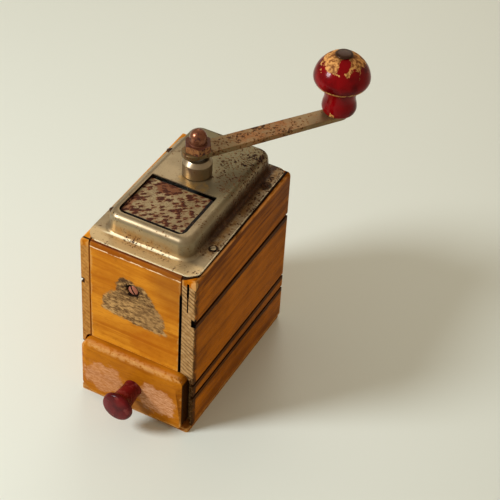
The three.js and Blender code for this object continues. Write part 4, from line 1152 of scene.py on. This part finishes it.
# %% Tones of the front panel
x, _, z = tree.axes(place)
fibres = tree.blotches(place, (300, 560, 720), 0.36, 0.64, 5.0, 0.72)
greyed = tree.spot(place, (11 * mm, case_front, 82 * mm), (12 * mm, 0, 9 * mm), 0.6)
upper = tree.times(tree.within(place, z=(84, 97)),
                   tree.blotches(place, 260.0, 0.38, 0.6, roughness=0.7))
screw_far = tree.vector("DISTANCE", shaken, tuple(panel_screw_place))
oiled = tree.band(screw_far, 3.6 * mm, 1.2 * mm, 0.9 * mm)
bare_tone = tree.layers(tree.mix(fibres, colour(92, 64, 38), colour(190, 148, 92)),
                        (greyed, 0.4, (134, 100, 62)),
                        (upper, 0.85, (62, 42, 28)),
                        (oiled, 0.95, (16, 9, 5)))
# A painted pool of light on the varnish at the panel's lower right.
painted_light_pool = tree.spot(place, (14 * mm, -60 * mm, 58 * mm), (18 * mm, 0, 12 * mm))
# Painted shadow under the cover: the panel's top edge is painted dark.
top_edge = tree.within(place, z=(119.5, 121.5))
dull_corner = tree.times(tree.step(tree.plus(z, tree.times(x, 0.5)), 96 * mm, 122 * mm),
                         tree.within(place, x=(4, 18)))
# Painted highlight: a thin broken pale line along the panel's top edge.
uneven = tree.plus(z, tree.times(tree.noise(place, 260.0, 4.0, 0.65), 1.6 * mm))
chips_and_highlight = tree.times(tree.band(uneven, 121.5 * mm, 0.22 * mm, 0.3 * mm),
                   tree.blotches(place, (110, 400, 400), 0.4, 0.5, 3.0, 0.6))
tone = tree.layers(tone,
                   (painted_light_pool, 0.35, (172, 88, 10)),
                   (top_edge, 0.6, (118, 54, 6)),
                   (dull_corner, 0.5, (136, 78, 26)),
                   (chips_and_highlight, 0.9, (250, 214, 170)))
# Painted shade in the gap between the panel and the right board: a near-black line.
seam = tree.within(place, x=(28.7, 29.0), z=(112, 109))
tone = tree.layers(tree.mix(bare_mask, tone, bare_tone), (seam, 1, (9, 4, 2)))
tree.feed(shader["Base Color"], tone)
tree.feed(shader["Roughness"], tree.plus(tree.times(bare_mask, 0.35), 0.4))
print("front panel:", len(tree.tree.nodes), "nodes")

# %% [markdown]
# The drawer's front is handled most: its varnish is bleached on both sides of the knob, its top
# edge is rubbed pale and carries a painted highlight, a grey smear lies under the knob, and its
# right end is painted near black.

# %% Drawer front
tree, shader, place, tone = varnished("varnish_drawer", drawer_front, "x", colour(188, 114, 20),
                                      colour(148, 78, 8), 5.5, wear=0.7)
drawer_face = -66.6 * mm
left_patch = tree.spot(place, (-20 * mm, drawer_face, 20 * mm), (15 * mm, 0, 12.5 * mm), 0.75)
right_patch = tree.spot(place, (17.5 * mm, drawer_face, 20 * mm), (12.5 * mm, 0, 10 * mm), 0.75)
flecks = tree.blotches(place, (300, 900, 1100), 0.34, 0.64)
tone = tree.mix(tree.most(tree.times(left_patch, 0.6), tree.times(right_patch, 0.85)), tone,
                tree.mix(flecks, colour(220, 166, 124), colour(180, 118, 72)))
smear = tree.spot(place, (5 * mm, drawer_face, 8 * mm), (9 * mm, 0, 4.5 * mm), 0.7)
# Wear and painted highlight: the lip's top edge is painted pale.
rubbed_and_sheen = tree.both(tree.within(place, y=(-61, -64), z=(41.6, 43.4)),
                   tree.blotches(place, 330.0, 0.36, 0.56, roughness=0.7))
# The lip's right end is painted near black.
right_end = tree.within(place, x=(34.4, 35), y=(-65.8, -64.8))
tone = tree.layers(tone,
                   (smear, 0.5, (104, 72, 50)),
                   (rubbed_and_sheen, 0.6, (216, 160, 96)),
                   (right_end, 0.93, (34, 16, 5)))
tree.feed(shader["Base Color"], tone)
print("drawer front:", len(tree.tree.nodes), "nodes")

# %% [markdown]
# Inside, the wood was never varnished.

# %% Plain wood
material, tree, shader, place = new_material("plain_wood")
grain = use(tree, "Wood grain", Vector=tree.turned(place, grain_turns["y"]),
            Light=colour(206, 168, 112), Dark=colour(160, 116, 66), Seed=3.0)
tree.feed(shader["Base Color"], grain["Color"])
shader["Roughness"].default_value = 0.75
bump(tree, shader, grain["Height"], 0.3, 0.2 * mm)
dress(material, "mill_shelf", "drawer_side_left", "drawer_side_right", "drawer_bottom",
      "drawer_back")

# %% [markdown]
# All metal pieces share one recipe: a dull plated ground with a fine grain, brown stains, and rust
# spots on top, which are rough and not metallic. A piece's wear function gives, from the place on
# the piece, the amount of rust and how deep the brown tarnish lies; on the cover's right side that
# tarnish is also painted shade. Its paint function lays more coats over the ground, and says which
# of them are dull.

# %% Plated metal
rust_rim, rust_core = (132, 80, 36), (46, 26, 14)


def plated(name, base, scale, seed, roughness, metallic, wear, stain=(122, 88, 46),
           rim=rust_rim, core=rust_core, paint=None):
    material, tree, shader, place = new_material(name)
    amount, tarnish_and_shade = wear(tree, place)
    rust = use(tree, "Rust spots", Vector=place, Scale=scale, Amount=amount, Seed=seed,
               Rim=colour(*rim), Core=colour(*core))
    ground = colour(*base)
    darker = (*(0.74 * v for v in ground[:3]), 1)
    cloud = tree.noise(place, 60.0, 4.0, 0.6)
    grain = tree.noise(place, 1500.0, 3.0, 0.6)
    clean = tree.mix(tree.step(cloud, 0.35, 0.7), ground, darker)
    clean = tree.mix(tree.times(tree.step(grain, 0.45, 0.7), 0.4), clean, darker)
    dull = rust["Mask"]
    if paint:
        clean, marks = paint(tree, place, clean)
        dull = tree.most(dull, marks)
    patchy = tree.step(tree.noise(place, 300.0, 4.0, 0.7), 0.2, 0.7, 0.7, 1.25)
    # Tarnish, which on the cover's right side is also painted shade.
    tarnish_and_shade_share = tree.math("MINIMUM", tree.times(patchy, tarnish_and_shade), 1.0)
    tone = tree.layers(clean, (rust["Stain"], 0.5, stain), (tarnish_and_shade_share, 1, (62, 36, 14)))
    tree.feed(shader["Base Color"], tree.mix(rust["Mask"], tone, rust["Color"]))
    bright = tree.times(tree.minus(1.0, dull), tree.minus(1.0, tree.times(tarnish_and_shade_share, 0.6)))
    tree.feed(shader["Metallic"], tree.times(bright, metallic))
    tree.feed(shader["Roughness"], tree.plus(
        tree.times(dull, 0.35), tree.plus(tree.times(cloud, 0.12), roughness - 0.06)))
    shader["Specular IOR Level"].default_value = 0.25
    bump(tree, shader, tree.plus(rust["Mask"], tree.times(grain, 0.3)), 0.25, 0.1 * mm)
    return material


def even(amount, tarnish_and_shade=0.0):
    """The same wear all over a piece."""
    return lambda tree, place: (amount, tarnish_and_shade)


dress(plated("bright_nickel", (176, 156, 126), 500.0, 2.0, 0.3, 0.9, even(0.3)), bush)
dress(plated("dark_rivet", (62, 38, 26), 500.0, 4.5, 0.3, 0.6, even(0.5, 0.2)), rivet)
dress(plated("burr_iron", (92, 90, 88), 400.0, 7.0, 0.5, 0.8, even(0.3)),
      "outer_burr", "inner_burr")
steel_nodes = [row["node"] for row in frame["record"]["subparts"]
               if row["material_slot"] == "bright_steel"]
dress(plated("plain_steel", (176, 174, 168), 500.0, 6.0, 0.32, 0.9, even(0.2)),
      lid_spring, *steel_nodes)

# %% [markdown]
# The cover has rusted where coffee and damp stayed: at the dome's right foot, behind the bush and
# along the front foot. Its front flange is rubbed bright and carries painted sheen, oil has browned
# the right one, with painted shade, and dirt rings the screws. Painted shade also darkens the
# dome's right side and greys its front wall, and painted highlights lie along the front foot and
# the flange's front edge.

# %% Pressed cover's finish
def cover_wear(tree, place):
    x, y, _ = tree.axes(place)
    flank = tree.within(place, x=(25, 28.5), y=(-48, -36))
    rear = tree.times(tree.step(tree.plus(x, tree.times(y, 0.5)), 2 * mm, 24 * mm),
                      tree.within(place, y=(-6, 8)))
    front_foot = tree.within(place, x=(1, 13, 14), y=(-50.6, 2.4, 3), z=(135.5, 129.5))
    amount = tree.most(tree.times(flank, 0.66), tree.times(rear, 0.74),
                       tree.times(front_foot, 0.6), 0.42)
    # Tarnish and painted shade: the dome's right side and right foot are painted dark brown.
    right_foot = tree.within(place, x=(28.4, 1.0, 3.2), z=(138, 130))
    tarnish_and_shade = tree.both(flank, tree.within(place, y=(-48, -18)),
                        tree.plus(tree.times(right_foot, 0.83), 0.17))
    return amount, tarnish_and_shade


def cover_paint(tree, place, tone):
    x, y, _ = tree.axes(place)
    past = past_flange(tree, place)
    on_flange = (130, 128)
    mottled = tree.blotches(place, 170.0, 0.3, 0.62)
    # Wear and painted sheen: the front flange is painted paler.
    rubbed_and_sheen = tree.within(place, y=(-46, -50), z=on_flange)
    # Oil stain and painted shade: the right flange is painted brown.
    browned_and_shaded = tree.both(tree.within(place, x=(27, 30), y=(-44, -30), z=on_flange), mottled,
                        tree.step(past, -3.6 * mm, -1.4 * mm, 1.0, 0.25))
    # Painted shade: the dome's front wall is painted greyer and darker.
    wall = tree.both(tree.within(place, y=(-46, -47.6), z=(127.6, 129)),
                     tree.within(place, z=(137.8, 136)))
    stained = tree.both(tree.within(place, x=(-6, 16, 10), y=(-50.2, 1.2, 2.6), z=(134, 131)),
                        mottled)
    rear = tree.times(tree.within(place, z=(137, 139)),
                      tree.step(tree.plus(x, y), -10 * mm, 40 * mm))
    bush_foot = tree.times(tree.spot(
        place, (mill_centre.x + 4 * mm, mill_centre.y - 11 * mm, 139.5 * mm),
        (10 * mm, 5 * mm, 0)), mottled)
    # Painted highlight along the flange's front edge.
    edge = tree.times(tree.step(past, -0.35 * mm, -0.15 * mm),
                      tree.within(place, z=(124.9, 125.1)))
    # Painted highlight along the dome's front foot, broken by fine specks.
    speckled = tree.step(tree.noise(place, 1300.0, 3.0, 0.6), 0.5, 0.64, 0.9, 0.5)
    shine = tree.both(tree.within(place, x=(-5, 20, 8), y=(-49.7, 0.5, 0.4), z=(128.6, 127.6)),
                      speckled)
    front_seat, rear_seat = flange_seats[2:]
    ring = tree.band(tree.far(place, front_seat), cover_head_radius + 0.3 * mm,
                     0.45 * mm, 0.2 * mm)
    blot = tree.spot(place, rear_seat, (4.2 * mm, 4.2 * mm, 0), 0.5, 400.0)
    dirt = tree.most(ring, tree.times(blot, 0.85))
    tone = tree.layers(tone,
                       (rubbed_and_sheen, 0.7, (226, 196, 146)),
                       (browned_and_shaded, 0.75, (136, 92, 30)),
                       (wall, 0.42, (120, 110, 84)),
                       (stained, 0.6, (152, 106, 40)),
                       (rear, 0.75, (96, 92, 66)),
                       (bush_foot, 0.5, (196, 150, 66)),
                       (edge, 0.8, (244, 226, 190)),
                       (shine, 1, (255, 246, 208)),
                       (dirt, 1, (16, 8, 4)))
    return tone, tree.most(dirt, shine)


dress(plated("worn_nickel", (164, 145, 113), 680.0, 1.0, 0.4, 0.8, cover_wear,
             paint=cover_paint), cover)

# %% [markdown]
# The lid is the rustiest piece. Its spots lie in slanting cells, each spot as large as its cell's
# chance allows, with a dark heart. Over a clouded ground come fine specks and a rusted left edge,
# and a near-black band of painted shadow from the gap lies along the three edges that touch the
# cover.

# %% Lid's finish
lid_top = 137.5 * mm
lid_left, lid_right, lid_front = -24.6 * mm, 17.5 * mm, -39.2 * mm


def lid_spots(tree, place):
    """How far each point lies inside a rust spot, in cells."""
    x, y, _ = tree.axes(place)
    lined = tree.add("Mapping", {"Vector": place, "Rotation": (0, 0, math.radians(38)),
                                 "Scale": (4.3 * mm, 2.1 * mm, 1)}, vector_type="TEXTURE")
    ragged = tree.add("TexNoise", {"Vector": lined, "Scale": 1.7, "Detail": 4.0,
                                   "Roughness": 0.65})
    shift = tree.vector("MULTIPLY", tree.vector("SUBTRACT", ragged.outputs["Color"],
                                                (0.5, 0.5, 0.5)), (1.3, 1.8, 0))
    cells = tree.add("TexVoronoi", {"Vector": tree.vector("ADD", lined, shift), "Scale": 1.0,
                                    "Randomness": 1.0}, voronoi_dimensions="2D").outputs
    crowd = tree.step(tree.minus(x, tree.times(y, 0.3)), 16 * mm, -18 * mm, 0.0, 0.12)
    chance = tree.axes(cells["Color"])[0]
    size = tree.plus(crowd, tree.step(chance, 0.12, 0.9, 0.0, 0.62))
    return tree.minus(size, cells["Distance"])


def lid_paint(tree, place, tone):
    x, y, _ = tree.axes(place)
    inside = lid_spots(tree, place)
    spots = tree.step(inside, -0.03, 0.05)
    clouded = tree.blotches(place, 240.0, 0.4, 0.66, 5.0, 0.7)
    specks = tree.blotches(place, 1000.0, 0.58, 0.66, 3.0, 0.6)
    strip = tree.spot(place, (-24.2 * mm, -32 * mm, lid_top), (3.2 * mm, 13 * mm, 0), 0.5, 260.0)
    patch = tree.spot(place, (-9.5 * mm, -7.5 * mm, lid_top), (8 * mm, 5 * mm, 0), 0.6, 260.0)
    tone = tree.layers(tone,
                       (clouded, 0.5, (112, 74, 40)),
                       (specks, 0.75, (84, 46, 22)),
                       (strip, 0.8, (138, 90, 60)),
                       (patch, 0.8, (112, 56, 26)))
    heart = tree.mix(tree.step(inside, 0.02, 0.2), colour(122, 66, 34), colour(66, 27, 12))
    tone = tree.mix(spots, tone, heart)
    # Painted shadow of the gap: a near-black band along the lid's right, front and left edges.
    rim = tree.most(tree.step(x, lid_right - 0.2 * mm, lid_right),
                    tree.step(y, lid_front + 0.2 * mm, lid_front),
                    tree.step(x, lid_left + 0.5 * mm, lid_left))
    marks = tree.most(spots, rim, tree.times(patch, 0.6), tree.times(strip, 0.6))
    return tree.layers(tone, (rim, 1, (10, 5, 3))), marks


dress(plated("rusty_lid", (158, 139, 101), 900.0, 3.0, 0.42, 0.35, even(0.35), (132, 92, 52),
             (128, 66, 36), (76, 34, 18), lid_paint), bean_lid)

# %% [markdown]
# The crank's arm is olive grey near the nut and orange with rust in its middle. The nut is browned
# steel whose front facet is painted bright copper as a reflection, while its others are dark brown.

# %% Arm's and nut's finish
arm_root = (mill_centre.x, mill_centre.y, 157 * mm)


def arm_wear(tree, place):
    away = tree.vector("DISTANCE", place, arm_root)
    middle = tree.band(away, 48 * mm, 14 * mm, 16 * mm)
    amount = tree.plus(tree.step(away, 40 * mm, 8 * mm, 0.58, 0.68), tree.times(middle, 0.12))
    return amount, tree.step(away, 30 * mm, 12 * mm, 0.12, 0.25)


def arm_paint(tree, place, tone):
    away = tree.vector("DISTANCE", place, arm_root)
    rusted = tree.times(tree.band(away, 46 * mm, 12 * mm, 14 * mm),
                        tree.blotches(place, 130.0, 0.36, 0.6))
    tone = tree.layers(tone, (rusted, 0.6, (166, 92, 34)),
                       (tree.step(away, 30 * mm, 16 * mm, 0.0, 0.5), 1, (122, 106, 70)))
    return tone, tree.times(rusted, 0.4)


def nut_paint(tree, place, tone):
    z = tree.axes(place)[2]
    facet = hex_turn + math.pi / 6
    towards = tree.vector("DOT_PRODUCT", facing(tree), (math.cos(facet), math.sin(facet), 0))
    collar_top = nut_centre.z + hex_height
    on_collar = tree.step(z, collar_top + 0.6 * mm, collar_top)
    # Painted reflection: the nut's front facet is painted bright copper.
    rubbed_and_sheen = tree.both(on_collar, tree.step(towards, 0.8, 0.95),
                       tree.blotches(place, 420.0, 0.32, 0.5))
    tone = tree.layers(tone, (on_collar, 0.85, (76, 34, 16)), (rubbed_and_sheen, 1, (236, 166, 100)))
    return tone, tree.times(on_collar, 0.6)


dress(plated("dull_arm", (152, 126, 88), 620.0, 4.0, 0.42, 0.7, arm_wear, (150, 98, 44),
             (136, 84, 36), (60, 36, 18), arm_paint), arm)
dress(plated("browned_nut", (146, 92, 66), 520.0, 5.0, 0.28, 0.8, even(0.6, 0.2),
             (104, 54, 34), (100, 48, 32), (62, 28, 22), nut_paint), nut)

# %% [markdown]
# Dirt sits in a screw's slot and round its rim. One of the cover's screws is pale and the others
# have rusted dark, and the panel's is coppery.

# %% Screws' finish
def slot_dirt(seat, across, width, clean_radius):
    def paint(tree, place, tone):
        away = tree.vector("SUBTRACT", place, tuple(seat))
        side = tree.math("ABSOLUTE", tree.vector("DOT_PRODUCT", away, across))
        dirt = tree.most(tree.step(side, width, width * 0.75),
                         tree.step(tree.vector("LENGTH", away), clean_radius,
                                   clean_radius + 0.2 * mm))
        return tree.layers(tone, (dirt, 1, (14, 7, 4))), dirt
    return paint


pale_turn = cover_slot_turns[2]
pale_slot = slot_dirt(flange_seats[2], (-math.sin(pale_turn), math.cos(pale_turn), 0),
                      0.55 * mm, 1.8 * mm)
panel_slot = slot_dirt(panel_screw_place, (-math.sin(panel_slot_turn), 0,
                                           math.cos(panel_slot_turn)), 0.6 * mm, 3.3 * mm)
dress(plated("pale_screw", (206, 184, 146), 560.0, 7.5, 0.4, 0.6, even(0.3), paint=pale_slot),
      cover_screws[2])
dress(plated("rusted_screw", (74, 46, 26), 560.0, 8.0, 0.5, 0.5, even(0.9, 0.6)),
      cover_screws[0], cover_screws[1], cover_screws[3])
dress(plated("copper_screw", (178, 106, 80), 500.0, 9.0, 0.4, 0.4, even(0.45), (120, 66, 46),
             paint=panel_slot), panel_screw)

# %% [markdown]
# Both knobs are painted wood. The paint is thick and glossy, and it has chipped off where hands and
# the rivet rub: round the top, along the widest rim and at the foot. A tongue of red paint is left
# in the bare top.

# %% Painted knobs
def painted(name, paint, deep, seed):
    material, tree, shader, place = new_material(name)
    chips_and_highlight = tree.noise(tree.vector("ADD", place, (seed, seed, seed)), 170.0, 5.0, 0.62, 0.3)
    coat = tree.mix(tree.step(tree.noise(place, 90.0), 0.35, 0.7), colour(*paint), colour(*deep))
    shader["Specular IOR Level"].default_value = 0.14
    return material, tree, shader, place, chips_and_highlight, coat


material, tree, shader, place, chips_and_highlight, coat = painted(
    "chipped_red_paint", (128, 2, 8), (84, 0, 4), 1.7)
height = tree.math("DIVIDE", tree.minus(tree.axes(place)[2], knob_foot), knob_height)
near_top = tree.step(height, 0.8, 0.93)
near_rim = tree.band(height, 0.53, 0.02, 0.026)
near_foot = tree.times(tree.step(height, 0.15, 0.08), tree.spot(
    place, (knob_centre.x + 0.5 * mm, knob_centre.y - 8 * mm, knob_foot),
    (3.6 * mm, 3.6 * mm, 0), 0.3))
tongue = tree.spot(
    place, (knob_centre.x + 4.2 * mm, knob_centre.y - 7.4 * mm, knob_foot + knob_height),
    (3.4 * mm, 4.6 * mm, 0), 0.5, 300.0)
worn = tree.minus(tree.most(tree.times(near_top, 0.36), tree.times(near_rim, 0.38),
                            tree.times(near_foot, 0.36)), tree.times(tongue, 0.4))
chipped = tree.step(tree.plus(chips_and_highlight, worn), 0.7, 0.715)
by_rivet = tree.times(near_top, tree.step(tree.far(place, knob_centre), 8 * mm, 4.6 * mm))
bare_wood = tree.layers(
    tree.mix(tree.blotches(place, 420.0, 0.38, 0.6), colour(120, 66, 24), colour(220, 158, 88)),
    (by_rivet, 0.75, (78, 42, 18)))
tree.feed(shader["Base Color"], tree.mix(chipped, coat, bare_wood))
tree.feed(shader["Roughness"], tree.plus(tree.times(chipped, 0.45), 0.16))
bump(tree, shader, tree.minus(1.0, chipped), 0.5, 0.3 * mm)
dress(material, crank_knob)

material, tree, shader, place, chips_and_highlight, coat = painted(
    "worn_maroon_paint", (106, 20, 20), (64, 9, 12), 2.9)
rubbed_and_sheen = tree.step(chips_and_highlight, 0.54, 0.7)
tree.feed(shader["Base Color"], tree.layers(coat, (rubbed_and_sheen, 0.45, (150, 74, 64))))
tree.feed(shader["Roughness"], tree.plus(tree.times(rubbed_and_sheen, 0.25), 0.26))
bump(tree, shader, chips_and_highlight, 0.15, 0.3 * mm)
dress(material, drawer_knob)

# %% [markdown]
# The dressed mill may not outgrow the frame.
